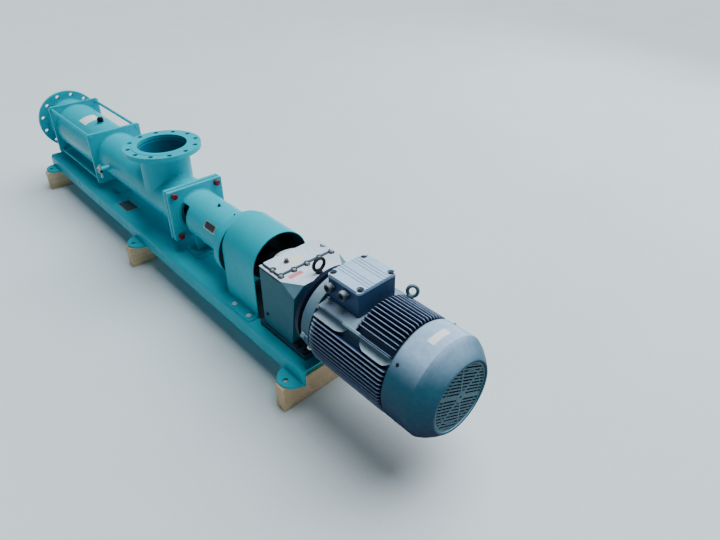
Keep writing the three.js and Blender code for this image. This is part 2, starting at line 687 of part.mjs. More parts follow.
add('base_channel', baseChannel(), teal);
add('bearer_discharge_end', bearer(BEARER.xs[0]), timber);
add('bearer_middle', bearer(BEARER.xs[1]), timber);
add('bearer_motor_end', bearer(BEARER.xs[2]), timber);

add('discharge_branch', dischargeBranch(), teal);
add('end_plate_discharge', rodHoles(PLATE_A), teal);
add('end_plate_suction', rodHoles(PLATE_B), teal);
add('stator_tube', statorTube(), teal);
add('stator_liner', statorLiner(), rubber);
add('stator_plug', disc('z', PLUG.headR, PLUG.bossTop, PLUG.headTop, PLUG.x, 0, 8), black);
add('tie_rod_1', tieRod(-ROD.y, ROD.zTop), teal);
add('tie_rod_2', tieRod(ROD.y, ROD.zTop), teal);
add('tie_rod_3', tieRod(-ROD.y, ROD.zLow), teal);
add('tie_rod_4', tieRod(ROD.y, ROD.zLow), teal);

add('rotor', rotor(), steel);
add('connecting_rod', connectingRod(), steel);
add('suction_casing', suctionCasing(), teal);
add('suction_flange', suctionFlange(), teal);
add('casing_foot', foot(-640, -560, 100, -600, 70, CASING.r), teal);
add('drain_valve_body', drainValveBody(), steel);
const lever = add('drain_valve_lever', drainValveLever(), steel);
lever.position.set(DRAIN.x, DRAIN.y - DRAIN.stem, DRAIN.z);

add('casing_plate', casingPlate(), teal);
add('housing_plate', housingPlate(), teal);
add('gland', gland(), darkSteel);
add('bearing_housing', bearingHousing(), teal);
add('housing_foot', foot(300, 445, 105, 372, 70, HOUSING.r), teal);
add('drive_shaft', driveShaft(), steel);
add('coupling_pump_half', couplingPumpHalf(), darkSteel);
add('coupling_drive_half', couplingDriveHalf(), darkSteel);
add('coupling_guard', couplingGuard(), teal);

add('reducer_case', reducerCase(), slate);
add('reducer_cover', reducerCover(), slate);
add('reducer_vent', reducerVent(), brass);
const reducerEye = add('reducer_eye', ringEye(RING_EYE.r, RING_EYE.bore, RING_EYE.thick, RING_EYE.rise), darkSteel);
reducerEye.position.set(RING_EYE.x, 0, REDUCER.top);
reducerEye.rotation.z = Math.PI / 2;
add('reducer_flange', reducerFlange(), slate);

add('motor_flange', motorFlange(), slate);
add('motor_frame', motorFrame(), slate);
add('terminal_box', terminalBox(), slate);
add('terminal_lid', terminalLid(), slate);
add('cable_gland_1', cableGland(CABLE.at[0]), slate);
add('cable_gland_2', cableGland(CABLE.at[1]), slate);

const eyeSeat = new THREE.Group();
eyeSeat.position.set(LIFT.x, 0, MOTOR.z);
eyeSeat.rotation.x = THREE.MathUtils.degToRad(LIFT.angle - 90);
machine.add(eyeSeat);
const motorEye = add('motor_eye', ringEye(LIFT.r, LIFT.bore, LIFT.thick), slate, eyeSeat);
motorEye.position.z = LIFT.seat + GAP;
motorEye.rotation.z = THREE.MathUtils.degToRad(LIFT.turn);

add('fan_cover', fanCover(), slate);
add('fan_grille', fanGrille(), slate);
add('motor_fan', motorFan(), black);

const group = new THREE.Group();
group.add(machine);
export default group;
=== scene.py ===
import math

import bmesh
import bpy
from bpy.props import FloatProperty, FloatVectorProperty, IntProperty, PointerProperty
from mathutils import Matrix, Vector, noise


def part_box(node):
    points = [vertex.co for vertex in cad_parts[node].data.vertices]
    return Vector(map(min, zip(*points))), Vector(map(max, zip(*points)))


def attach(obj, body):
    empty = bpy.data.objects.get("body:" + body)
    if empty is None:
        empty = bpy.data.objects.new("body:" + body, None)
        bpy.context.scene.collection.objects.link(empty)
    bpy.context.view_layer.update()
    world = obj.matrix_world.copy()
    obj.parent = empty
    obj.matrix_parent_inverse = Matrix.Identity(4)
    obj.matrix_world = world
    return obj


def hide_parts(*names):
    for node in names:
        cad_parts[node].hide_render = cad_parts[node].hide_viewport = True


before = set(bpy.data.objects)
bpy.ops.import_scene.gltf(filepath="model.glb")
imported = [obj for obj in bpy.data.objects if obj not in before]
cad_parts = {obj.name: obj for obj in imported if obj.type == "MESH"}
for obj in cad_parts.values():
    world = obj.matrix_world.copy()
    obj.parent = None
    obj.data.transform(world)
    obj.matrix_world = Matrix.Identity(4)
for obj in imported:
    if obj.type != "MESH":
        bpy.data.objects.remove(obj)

bl_info = {
    "name": "Single screw pump",
    "version": (1, 0, 0),
    "blender": (4, 5, 0),
    "location": "3D Viewport > Sidebar > Pump",
    "description": "Builds a single screw pump with its coupling guard, reducer and finned motor on a folded base",
    "category": "Add Mesh",
}

# Sizes inside the builders are millimetres from the pump axis: x = 0 is the middle of the suction branch,
# y = z = 0 is the axis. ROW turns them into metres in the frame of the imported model.
SUCTION_LOW, SUCTION_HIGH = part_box("suction_flange")
BRANCH_LOW, BRANCH_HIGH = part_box("discharge_branch")
AXIS_POINT = Vector((
    (SUCTION_LOW[0] + SUCTION_HIGH[0]) / 2,
    0.0,
    (BRANCH_LOW[2] + BRANCH_HIGH[2]) / 2,
))
ROW = Matrix.Translation(AXIS_POINT) @ Matrix.Scale(0.001, 4)

# Heights over the axis
BASE_TOP, BASE_BOTTOM, FLOOR = -207, -292, -417
FOOT_TOP = BASE_TOP + 10
CASE_TOP, COVER_TOP = 121.5, 131.5
LID_Z = 254
MOTOR_Z = -8.0

# Places along the axis; a pair is where a plate starts and ends
LUG_X = (-1412, -68, 1389)
BEARERS = (("bearer_discharge_end", -1400, 3.0), ("bearer_middle", -64, 11.0), ("bearer_motor_end", 1396, 23.0))
DISCHARGE_PLATE, SUCTION_PLATE = (-1383, -1363), (-717, -695)
CASING_PLATE, HOUSING_PLATE = (261, 283), (291, 313)
DRAIN_X, DRAIN_END, DRAIN_Z = -516, -188, 8
ADAPTER_END, SHIELD_END = 1420, 1500
FIN_END, GRILLE_X = 1904, 2096.7

# The camera as solved from the photograph, in metres
CAMERA = Matrix((
    (0.699731, -0.375759, 0.607603, 2.61946),
    (0.714231, 0.349091, -0.606638, -1.19157),
    (0.015841, 0.858453, 0.512648, 1.92863),
    (0.0, 0.0, 0.0, 1.0),
))
CAMERA_LENS, CAMERA_SENSOR, CAMERA_SHIFT = 28.69, 36.0, (-0.03, -0.0613)

FIXED, LEVER = "pump_set", "drain_lever"
SIDES = ((-1, "front"), (1, "back"))
UP, TO_DISCHARGE, TO_MOTOR = (0, 0, 1), (-1, 0, 0), (1, 0, 0)
PAINTS = {}

# Finishes by material slot: base colour (or the colour property it comes from), dust with painted sheen of the sky on
# upward faces, grime, roughness, skin, then what isn't usual; the under value paints shade on downward faces
# SKY, PALE and the other pale blue dust colours below lighten upward faces: dust together with painted sheen of the
# sky
SKY, PALE = (0.2, 0.7, 0.78), (0.42, 0.52, 0.64)
FINISHES = {
    "teal_paint": {
        "teal": ("teal", 0.07, 0.1, 0.28, 0.3, dict(shine=0.09, dust_and_sheen_colour=SKY)),
        # Dark blue-teal: painted shade inside the branch bore
        "teal_painted_shade": ((0.0, 0.2, 0.32), 0.0, 0.1, 0.5, 0.3, dict(shine=0.1)),
        # Near-black teal: painted shade, for the sheets inside the guard and on the housing flange's face
        "guard_painted_shade": ((0.006, 0.03, 0.045), 0.05, 0.2, 0.6, 0.3, {}),
    },
    "slate_paint": {
        "slate": ("slate", 0.6, 0.2, 0.36, 0.3, dict(shine=0.12, dust_and_sheen_colour=PALE, painted_under_shade=0.2)),
        "slate_rough": ((0.028, 0.1, 0.17), 0.8, 0.2, 0.42, 0.8,
                        dict(bump=0.2, shine=0.15, dust_and_sheen_colour=PALE, painted_under_shade=0.7)),
        # Case: the dust and painted sheen reach only faces close to level, which lightens its top facets
        "slate_case": ((0.012, 0.125, 0.175), 1.0, 0.1, 0.34, 0.2,
                       dict(shine=0.1, dust_and_sheen_colour=(0.76, 0.86, 1.0), level=(0.6, 0.97))),
        # Near-black copy of the drive paint: painted shade on the motor adapter
        "slate_bell_shaded": ((0.006, 0.012, 0.04), 0.0, 0.1, 0.5, 0.3, dict(shine=0.15)),
        # Light copy of the drive paint: painted sky reflection on the top of the reducer cover
        "slate_cover_painted_light": ((0.3, 0.4, 0.52), 1.0, 0.05, 0.32, 0.2, dict(shine=0.12, dust_and_sheen_colour=(0.74, 0.84, 0.98))),
        "slate_light": ((0.05, 0.16, 0.23), 1.0, 0.15, 0.36, 0.4,
                        dict(shine=0.15, dust_and_sheen_colour=(0.5, 0.62, 0.72), painted_under_shade=0.8)),
        "slate_pad": ((0.05, 0.13, 0.165), 1.0, 0.15, 0.36, 0.3, dict(shine=0.2, dust_and_sheen_colour=(0.5, 0.6, 0.72))),
        "slate_eye": ((0.03, 0.08, 0.1), 0.5, 0.2, 0.4, 0.5, dict(dust_and_sheen_colour=PALE)),
        # Light copy of the drive paint: painted sky light on the terminal box lid
        "slate_lid_painted_light": ((0.2, 0.34, 0.52), 1.0, 0.05, 0.36, 0.2, dict(shine=0.12, dust_and_sheen_colour=(0.56, 0.74, 0.96))),
        "slate_fan": ((0.032, 0.118, 0.175), 1.0, 0.06, 0.34, 0.12,
                      dict(shine=0.07, dust_and_sheen_colour=(0.5, 0.68, 0.92), painted_under_shade=1.0, level=(0.46, 0.86))),
        "slate_grille": ((0.028, 0.095, 0.13), 0.2, 0.1, 0.4, 0.2, dict(shine=0.1, dust_and_sheen_colour=PALE)),
        "slate_bolt": ((0.16, 0.3, 0.33), 0.8, 0.2, 0.3, 0.2, dict(shine=0.5, dust_and_sheen_colour=(0.8, 0.9, 0.95))),
        # Light copy of the drive paint: painted highlight on the fingers between the pads
        "slate_finger_highlight": ((0.14, 0.28, 0.34), 0.8, 0.1, 0.34, 0.3, dict(dust_and_sheen_colour=(0.6, 0.74, 0.84))),
        "slate_foot": ((0.008, 0.05, 0.085), 0.15, 0.3, 0.4, 0.3, dict(shine=0.1, dust_and_sheen_colour=PALE)),
        "slate_gland": ((0.02, 0.04, 0.075), 1.0, 0.1, 0.34, 0.3, dict(dust_and_sheen_colour=(0.55, 0.62, 0.7))),
        # Near black: painted shadow behind the fan
        "dark_painted_shade": ((0.006, 0.008, 0.012), 0.0, 0.1, 0.8, 0.3, {}),
        "label_white": ((0.98, 0.98, 0.98), 0.0, 0.1, 0.4, 0.1, dict(coat=0.1)),
        "label_amber": ((0.98, 0.9, 0.74), 0.0, 0.1, 0.45, 0.1, {}),
        "label_pink": ((0.85, 0.25, 0.3), 0.0, 0.1, 0.45, 0.1, {}),
    },
    "bright_steel": {
        "zinc": ("zinc", 0.1, 0.25, 0.32, 0.2, dict(metallic=0.9)),
        "zinc_bright": ((0.8, 0.83, 0.86), 0.1, 0.1, 0.26, 0.2, dict(metallic=0.7)),
        "zinc_pale": ((0.7, 0.84, 0.9), 0.1, 0.1, 0.22, 0.2, dict(metallic=0.2, shine=0.6)),
        "zinc_dull": ((0.3, 0.34, 0.38), 0.4, 0.25, 0.4, 0.3, dict(metallic=0.5)),
        "cap_pale": ((0.5, 0.38, 0.44), 0.1, 0.1, 0.4, 0.2, {}),
        "steel": ((0.46, 0.47, 0.48), 0.05, 0.3, 0.28, 0.2, dict(metallic=1.0)),
        "plate_dark": ((0.03, 0.028, 0.035), 0.15, 0.2, 0.35, 0.2, dict(coat=0.2)),
        "plate_bright": ((0.6, 0.61, 0.62), 0.1, 0.2, 0.35, 0.2, dict(metallic=0.7)),
    },
    "dark_iron": {
        "iron": ((0.008, 0.011, 0.017), 0.06, 0.3, 0.5, 0.8, dict(shine=0.2, bump=0.25)),
    },
    "vent_brass": {
        "brass": ((0.1, 0.075, 0.06), 0.3, 0.35, 0.4, 0.3, dict(metallic=0.6)),
    },
    "black_plastic": {
        "black_plastic": ((0.008, 0.009, 0.012), 0.1, 0.1, 0.5, 0.3, dict(shine=0.15)),
        "rubber": ((0.02, 0.02, 0.022), 0.2, 0.2, 0.7, 0.6, {}),
        # Near black: joints and seals, also used as painted shade round the reducer cover and the lid screws
        "gasket_and_shade": ((0.008, 0.009, 0.012), 0.05, 0.1, 0.7, 0.3, {}),
        "cap_red": ("cap", 0.12, 0.15, 0.4, 0.2, {}),
    },
}
SLOTS = {finish: slot for slot, finishes in FINISHES.items() for finish in finishes}
SLOTS.update(slate_fin="slate_paint", timber="timber")


def length(name, millimetres, text):
    return FloatProperty(name=name, description=text, default=millimetres / 1000, min=0.0, unit="LENGTH")


def colour(name, value, text):
    return FloatVectorProperty(name=name, description=text, default=value, min=0.0, max=1.0, size=3, subtype="COLOR")


def count(name, value, text):
    return IntProperty(name=name, description=text, default=value, min=1)


def mm(value):
    return value * 1000.0


class PUMP_PG_colours(bpy.types.PropertyGroup):
    """Paint, timber and metal colours"""
    teal: colour("Pump paint", (0.0, 0.45, 0.56), "Gloss paint of the pump, base and guard")
    slate: colour("Box paint", (0.02, 0.062, 0.145), "Satin paint of the terminal box")
    timber: colour("Timber", (0.92, 0.7, 0.47), "Sawn pine of the three bearers")
    cap: colour("Bolt cap", (0.16, 0.004, 0.018), "Plastic caps over the plate bolts")
    zinc: colour("Zinc", (0.62, 0.64, 0.66), "Plated bolts and studs")
    floor: colour("Floor", (0.71, 0.77, 0.79), "Plain pale floor")


class PUMP_PG_base(bpy.types.PropertyGroup):
    """Folded base channel"""
    half_width: length("Half width", 206, "From the middle to the side wall")
    sheet: length("Sheet", 8, "Thickness of the folded sheet")
    corner: length("Corner", 22, "Outer radius of the folded edges")
    lug_radius: length("Lug radius", 70, "Half-round anchor lugs")


class PUMP_PG_pipework(bpy.types.PropertyGroup):
    """Flanges, stator and casing"""
    flange_radius: length("Flange radius", 202.5, "Rim of both pipe flanges")
    bolt_circle: length("Bolt circle radius", 177.5, "Circle of the flange holes")
    flange_holes: count("Flange holes", 12, "Holes in each pipe flange")
    bore: length("Bore radius", 129, "Clear bore of both branches")
    stator_radius: length("Stator radius", 148, "Outside of the stator tube")
    casing_radius: length("Casing radius", 133, "Outside of the suction casing")


class PUMP_PG_drive(bpy.types.PropertyGroup):
    """Bearing housing and guard"""
    housing_radius: length("Housing radius", 116, "Outside of the bearing housing")
    guard_half: length("Guard half width", 147.5, "Outside of the coupling guard")
    guard_sheet: length("Guard sheet", 4, "Thickness of the guard")


class PUMP_PG_motor(bpy.types.PropertyGroup):
    """Finned motor"""
    fin_count: count("Fins", 72, "Fins round the whole frame")
    fin_radius: length("Fin radius", 205, "Tips of the fins")
    grille_rows: count("Grille rows", 20, "Bars between the slots of the fan grille")
    lid_ribs: count("Lid grooves", 3, "Grooves on each half of the terminal box lid")


# Meshes

def spot(axis, along, u, v):
    """Point at a distance along one axis, with u and v across it"""
    return {"X": (along, u, v), "Y": (u, along, v), "Z": (u, v, along)}[axis]


def circle(r, n=48, u=0.0, v=0.0, turn=0.0):
    angles = [2 * math.pi * (i + turn) / n for i in range(n)]
    return [(u + r * math.cos(a), v + r * math.sin(a)) for a in angles]


def rounded(u0, u1, v0, v1, corner, n=6):
    """Rectangle with round corners"""
    points = []
    for k, (u, v) in enumerate(((u1 - corner, v1 - corner), (u0 + corner, v1 - corner),
                                (u0 + corner, v0 + corner), (u1 - corner, v0 + corner))):
        for i in range(n + 1):
            a = math.pi / 2 * (k + i / n)
            points.append((u + corner * math.cos(a), v + corner * math.sin(a)))
    return points


def new_object(name, data):
    obj = bpy.data.objects.new(name, data)
    bpy.context.scene.collection.objects.link(obj)
    return obj


class Shape:
    """Collects closed forms in one mesh, in millimetres from the pump axis"""

    def __init__(self):
        self.bm = bmesh.new()

    def lathe(self, profile, n=96, axis="X", u=0.0, v=0.0):
        """Profile of (along, radius) turned about the axis; a radius of 0 makes a pole"""
        rings = []
        for along, r in profile:
            points = circle(r, n, u, v) if r > 0 else [(u, v)]
            rings.append([self.bm.verts.new(spot(axis, along, a, b)) for a, b in points])
        for a, b in zip(rings, rings[1:] + rings[:1]):
            if len(a) == 1 and len(b) == 1:
                continue
            for i in range(n):
                j = (i + 1) % n
                corners = [a[i % len(a)], a[j % len(a)], b[j % len(b)], b[i % len(b)]]
                self.bm.faces.new(list(dict.fromkeys(corners)))
        return self

    def loops(self, loops, ring=False):
        """Solid through a row of loops of equal length, closed at both ends or round into a ring"""
        rows = [[self.bm.verts.new(p) for p in loop] for loop in loops]
        n = len(rows[0])
        for a, b in zip(rows, rows[1:] + (rows[:1] if ring else [])):
            for i in range(n):
                j = (i + 1) % n
                self.bm.faces.new((a[i], a[j], b[j], b[i]))
        if not ring:
            self.bm.faces.new(rows[0][::-1])
            self.bm.faces.new(rows[-1])
        return self

    def prism(self, outline, a, b, axis="X"):
        """Outline extruded along an axis: X takes (y, z), Y takes (x, z), Z takes (x, y)"""
        return self.loops([[spot(axis, along, u, v) for u, v in outline] for along in (a, b)])

    def disc(self, r, a, b, axis="X", u=0.0, v=0.0, n=48):
        return self.prism(circle(r, n, u, v), a, b, axis)

    def box(self, x0, x1, y0, y1, z0, z1):
        return self.prism([(x0, y0), (x1, y0), (x1, y1), (x0, y1)], z0, z1, "Z")

    def turn(self, matrix):
        bmesh.ops.transform(self.bm, matrix=matrix, verts=self.bm.verts)
        return self

    def make(self, name="solid"):
        bmesh.ops.recalc_face_normals(self.bm, faces=self.bm.faces)
        mesh = bpy.data.meshes.new(name)
        self.bm.to_mesh(mesh)
        self.bm.free()
        return new_object(name, mesh)


def apply_modifiers(obj):
    """Swaps an object's mesh for its evaluated one, with no modifier left"""
    graph = bpy.context.evaluated_depsgraph_get()
    mesh = bpy.data.meshes.new_from_object(obj.evaluated_get(graph), preserve_all_data_layers=True, depsgraph=graph)
    obj.modifiers.clear()
    old = obj.data
    obj.data = mesh
    bpy.data.meshes.remove(old)
    return obj


def solid(form):
    """The object of a Shape that has none yet"""
    return form.make() if isinstance(form, Shape) else form


def boolean(form, operation, tools):
    obj = solid(form)
    for tool in map(solid, tools):
        change = obj.modifiers.new("boolean", "BOOLEAN")
        change.operation = operation
        change.solver = "EXACT"
        change.object = tool
        apply_modifiers(obj)
        bpy.data.objects.remove(tool)
    return obj


def cut(form, *tools):
    return boolean(form, "DIFFERENCE", tools)


def join(form, *tools):
    return boolean(form, "UNION", tools)


def soften(obj, width=0.0, segments=1, angle=33.0):
    """Rounds the sharp edges and shades the rest smooth"""
    if width > 0:
        bevel = obj.modifiers.new("bevel", "BEVEL")
        bevel.width = width
        bevel.segments = segments
        bevel.limit_method = "ANGLE"
        bevel.angle_limit = math.radians(angle)
        bevel.miter_outer = "MITER_ARC"
        bevel.use_clamp_overlap = True
        apply_modifiers(obj)
    mesh = obj.data
    mesh.polygons.foreach_set("use_smooth", [True] * len(mesh.polygons))
    mesh.set_sharp_from_angle(angle=math.radians(angle))
    weighted = obj.modifiers.new("weighted", "WEIGHTED_NORMAL")
    weighted.keep_sharp = True
    weighted.weight = 60
    return apply_modifiers(obj)


def settle(obj, finish, replaces=None, body=FIXED):
    """Puts a finished piece in the frame with its material and its body"""
    obj.data.transform(ROW)
    obj.data.update()
    obj.data.materials.clear()
    obj.data.materials.append(PAINTS[finish])
    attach(obj, body)
    if replaces:
        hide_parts(replaces)
    return obj


def piece(name, form, finish, edge=(), replaces=None, body=FIXED):
    """Named piece from a Shape or an object; edge is the width, segments and angle of its rounding"""
    obj = solid(form)
    obj.name = name
    return settle(soften(obj, *edge), finish, replaces, body)


def around(x, r, angles, z=0.0, spin=0.0, way=None, spin_step=0.0):
    """Places on a circle about the axis, at angles counted from +Y, which face outwards or along way"""
    places = []
    for k, a in enumerate(map(math.radians, angles)):
        across, rise = math.cos(a), math.sin(a)
        places.append(((x, r * across, z + r * rise), way or (0, across, rise), spin + spin_step * k))
    return places


# Node trees

class Tree:
    """Adds nodes and links to a node tree; a value that is a socket is linked, any other is set"""

    def __init__(self, tree):
        self.tree = tree
        self.nodes = tree.nodes

    def put(self, socket, value):
        if isinstance(value, bpy.types.NodeSocket):
            self.tree.links.new(value, socket)
        else:
            socket.default_value = value

    def add(self, kind, values=None, **settings):
        node = self.nodes.new(kind)
        for key, value in settings.items():
            setattr(node, key, value)
        for key, value in (values or {}).items():
            self.put(node.inputs[key], value)
        return node

    def math(self, operation, a, b=0.0, clamp=False):
        return self.add("ShaderNodeMath", {0: a, 1: b}, operation=operation, use_clamp=clamp).outputs[0]

    def product(self, first, *others, clamp=False):
        for k, other in enumerate(others):
            first = self.math("MULTIPLY", first, other, clamp and k == len(others) - 1)
        return first

    def mix(self, factor, a, b, blend="MIX"):
        """Two colours mixed; each is a socket or three values"""
        node = self.add("ShaderNodeMix", {0: factor}, data_type="RGBA", blend_type=blend)
        for index, value in ((6, a), (7, b)):
            self.put(node.inputs[index], (*value, 1.0) if isinstance(value, tuple) else value)
        return node.outputs[2]

    def ramp(self, value, low, high, out_low=0.0, out_high=1.0):
        return self.add("ShaderNodeMapRange", {"Value": value, "From Min": low, "From Max": high,
                                               "To Min": out_low, "To Max": out_high}).outputs[0]

    def noise(self, place, scale, detail, roughness=0.5):
        return self.add("ShaderNodeTexNoise", {"Vector": place, "Scale": scale, "Detail": detail,
                                               "Roughness": roughness}).outputs[0]

    def object_place(self):
        return self.add("ShaderNodeTexCoord").outputs["Object"]

    def split(self, vector):
        return self.add("ShaderNodeSeparateXYZ", {0: vector}).outputs

    def combine(self, **parts):
        return self.add("ShaderNodeCombineXYZ", {key.upper(): value for key, value in parts.items()}).outputs[0]

    def facing(self):
        """The three parts of the surface's own direction"""
        return self.split(self.add("ShaderNodeNewGeometry").outputs["Normal"])

    def mapped(self, vector, **settings):
        return self.add("ShaderNodeMapping", {"Vector": vector, **settings}).outputs[0]

    def dress(self, shader, base, roughness, height=None, strength=0.0, distance=0.002):
        """Feeds colour, roughness and bump into the material's shader"""
        self.put(shader.inputs["Base Color"], base)
        self.put(shader.inputs["Roughness"], roughness)
        if height is not None:
            bump = self.add("ShaderNodeBump", {"Strength": strength, "Distance": distance, "Height": height})
            self.put(shader.inputs["Normal"], bump.outputs[0])


def socket_type(value):
    """Kind of socket for a default value; a text is the kind itself"""
    if isinstance(value, str):
        return value
    if isinstance(value, tuple):
        return "NodeSocketColor" if len(value) == 4 else "NodeSocketVector"
    return "NodeSocketInt" if isinstance(value, int) else "NodeSocketFloat"


def group_with(name, inputs, outputs, kind="ShaderNodeTree"):
    """Node group with named sockets; returns its tree, its inputs and the sockets it puts out"""
    tree = bpy.data.node_groups.new(name, kind)
    for label, value in inputs.items():
        item = tree.interface.new_socket(label, in_out="INPUT", socket_type=socket_type(value))
        if not isinstance(value, str):
            item.default_value = value
    for label, socket in outputs.items():
        tree.interface.new_socket(label, in_out="OUTPUT", socket_type=socket)
    t = Tree(tree)
    return t, t.add("NodeGroupInput").outputs, t.add("NodeGroupOutput").inputs


def make_weathering():
    """Shared paint effect: cloudy tone, dust and painted sheen of the sky on upward faces, painted shade on downward
    faces, grime streaks and a fine skin
    """
    t, given, out = group_with("weathering", {
        "Colour": (0.5, 0.5, 0.5, 1.0), "Dust And Sheen Colour": (0.55, 0.56, 0.54, 1.0), "Dust And Sheen": 0.2, "Grime": 0.2,
        "Roughness": 0.3, "Skin": 0.1, "Painted Under Shade": 0.0, "Level Low": 0.3, "Level High": 1.0,
    }, {"Color": "NodeSocketColor", "Roughness": "NodeSocketFloat", "Height": "NodeSocketFloat"})
    place = t.object_place()
    cloud = t.noise(place, 3.2, 6.0, 0.62)
    speck = t.noise(place, 46.0, 5.0, 0.7)
    peel = t.noise(place, 160.0, 2.0, 0.5)
    streak = t.noise(t.mapped(place, Scale=(9.0, 9.0, 1.6)), 2.4, 7.0, 0.72)
    endways, _, up = t.facing()
    # Painted sheen: faces that point up are lightened towards the dust colour, as dust and as the sky's light on them
    level = t.math("POWER", t.ramp(up, given["Level Low"], given["Level High"]), 1.6)
    dust_and_sheen_mask = t.product(level, t.ramp(endways, 0.2, 0.8, 1.0, 0.45), t.ramp(speck, 0.32, 0.7, 0.75, 1.0))
    dust_and_sheen = t.product(dust_and_sheen_mask, t.ramp(cloud, 0.3, 0.65, 0.7, 1.0), given["Dust And Sheen"], clamp=True)
    grime = t.product(t.ramp(streak, 0.48, 0.78), t.ramp(cloud, 0.35, 0.7), given["Grime"], clamp=True)
    # Painted shade: faces that point down are mixed towards dark navy, standing in for the shade under things
    under_shade_mask = t.product(t.ramp(up, 0.45, -0.45), given["Painted Under Shade"], clamp=True)
    shaded = t.mix(under_shade_mask, given["Colour"], (0.003, 0.009, 0.042))
    tone = t.mix(t.ramp(cloud, 0.3, 0.7, 0.0, 0.16), shaded, (0.0, 0.0, 0.0), "MULTIPLY")
    lifted = t.mix(t.ramp(speck, 0.45, 0.8, 0.0, 0.025), tone, given["Dust And Sheen Colour"])
    dirty = t.mix(grime, lifted, (0.03, 0.035, 0.035))
    t.put(out["Color"], t.mix(dust_and_sheen, dirty, given["Dust And Sheen Colour"]))
    rough = t.math("ADD", given["Roughness"], t.product(t.math("ADD", dust_and_sheen, grime), 0.45), True)
    uneven = t.math("ADD", t.ramp(cloud, 0.3, 0.7, -0.05, 0.07), t.product(under_shade_mask, 0.4))
    t.put(out["Roughness"], t.math("ADD", rough, uneven, True))
    t.put(out["Height"], t.product(t.math("ADD", peel, t.product(speck, 0.6)), given["Skin"]))
    return t.tree


def new_material(name, metallic=0.0, coat=0.0, shine=0.3):
    material = bpy.data.materials.new(name)
    material.use_nodes = True
    t = Tree(material.node_tree)
    shader = t.nodes["Principled BSDF"]
    for label, value in (("Metallic", metallic), ("Specular IOR Level", shine), ("Coat Weight", coat),
                         ("Coat Roughness", 0.12)):
        shader.inputs[label].default_value = value
    PAINTS[name] = material
    return t, shader


# The under value paints shade on downward faces; level sets which upward faces take the dust and painted sheen
def weathered(name, base, dust_and_sheen, grime, roughness, skin, metallic=0.0, coat=0.0, bump=0.12, shine=0.3,
              dust_and_sheen_colour=(0.5, 0.52, 0.5), painted_under_shade=0.0, level=(0.3, 1.0)):
    """Material that is the weathering group with its own values"""
    t, shader = new_material(name, metallic, coat, shine)
    paint = t.add("ShaderNodeGroup", {
        "Colour": (*base, 1.0), "Dust And Sheen Colour": (*dust_and_sheen_colour, 1.0), "Dust And Sheen": dust_and_sheen, "Grime": grime,
        "Roughness": roughness, "Skin": skin, "Painted Under Shade": painted_under_shade, "Level Low": level[0], "Level High": level[1],
    }, node_tree=bpy.data.node_groups.get("weathering") or make_weathering()).outputs
    t.dress(shader, paint["Color"], paint["Roughness"], paint["Height"], bump)


def finned_paint(name, base, tip, nose):
    """Cast fins in dark paint, with painted highlight at the tips and at the rounded front ends, strongest where they
    face up
    """
    t, shader = new_material(name)
    nose_start, nose_end = AXIS_POINT.x + 1.508, AXIS_POINT.x + 1.535
    place = t.object_place()
    along, across, height = t.split(place)
    rise = t.math("SUBTRACT", height, AXIS_POINT.z + MOTOR_Z / 1000)
    r = t.math("SQRT", t.math("ADD", t.product(across, across), t.product(rise, rise)))
    up = t.facing()[2]
    grit = t.noise(place, 60.0, 5.0, 0.7)
    # Painted highlight: the fin tips are lightened, more where they face up
    edge = t.product(t.ramp(r, 0.196, 0.2035), t.ramp(up, -0.5, 0.7, 0.25, 1.0))
    tips_highlighted = t.mix(t.product(edge, t.ramp(grit, 0.3, 0.65, 0.6, 1.0)), base, tip)
    # Painted highlight: the rounded front ends of the fins are lightened
    nose_highlight = t.product(t.ramp(along, nose_start, nose_end, 1.5, 0.0), t.ramp(up, -0.6, 0.4, 0.1, 0.8),
                     t.ramp(r, 0.18, 0.2), clamp=True)
    t.dress(shader, t.mix(nose_highlight, tips_highlighted, nose), 0.4, grit, 0.15)


def sawn_timber(name, base):
    """Pine: long grain along Y, growth rings on the sawn ends, and handling dirt"""
    t, shader = new_material(name)

    def shade(*factors):
        return tuple(part * factor for part, factor in zip(base, factors))

    place = t.object_place()
    warp = t.noise(place, 7.0, 3.0)
    bent = t.add("ShaderNodeVectorMath", {0: place, 1: warp}, operation="ADD").outputs[0]
    grain = t.noise(t.mapped(bent, Scale=(40.0, 1.6, 40.0)), 3.0, 8.0, 0.65)
    ring_place = t.mapped(place, Location=(0.02, 0.0, -0.16), Scale=(1.0, 0.06, 1.0))
    rings = t.add("ShaderNodeTexWave", {"Vector": ring_place, "Scale": 30.0, "Distortion": 3.0, "Detail": 2.0},
                  wave_type="RINGS", rings_direction="Y").outputs[1]
    blotch = t.noise(place, 11.0, 5.0, 0.6)
    pale = t.mix(t.ramp(grain, 0.35, 0.68), base, shade(0.62, 0.52, 0.38))
    ringed = t.mix(t.ramp(rings, 0.2, 0.9, 0.0, 0.45), pale, shade(0.7, 0.56, 0.4))
    soiled = t.mix(t.ramp(blotch, 0.52, 0.8, 0.0, 0.6), ringed, (0.16, 0.13, 0.1))
    t.dress(shader, soiled, 0.82, grain, 0.5, 0.003)


def plain_floor(name, base):
    t, shader = new_material(name)
    place = t.object_place()
    cloud, grit = t.noise(place, 1.3, 6.0, 0.6), t.noise(place, 60.0, 4.0, 0.7)
    tone = t.mix(t.ramp(cloud, 0.3, 0.75, 0.0, 0.12), base, (0.45, 0.46, 0.47))
    t.dress(shader, t.mix(t.ramp(grit, 0.5, 0.8, 0.0, 0.12), tone, (0.3, 0.3, 0.3)), 0.9)


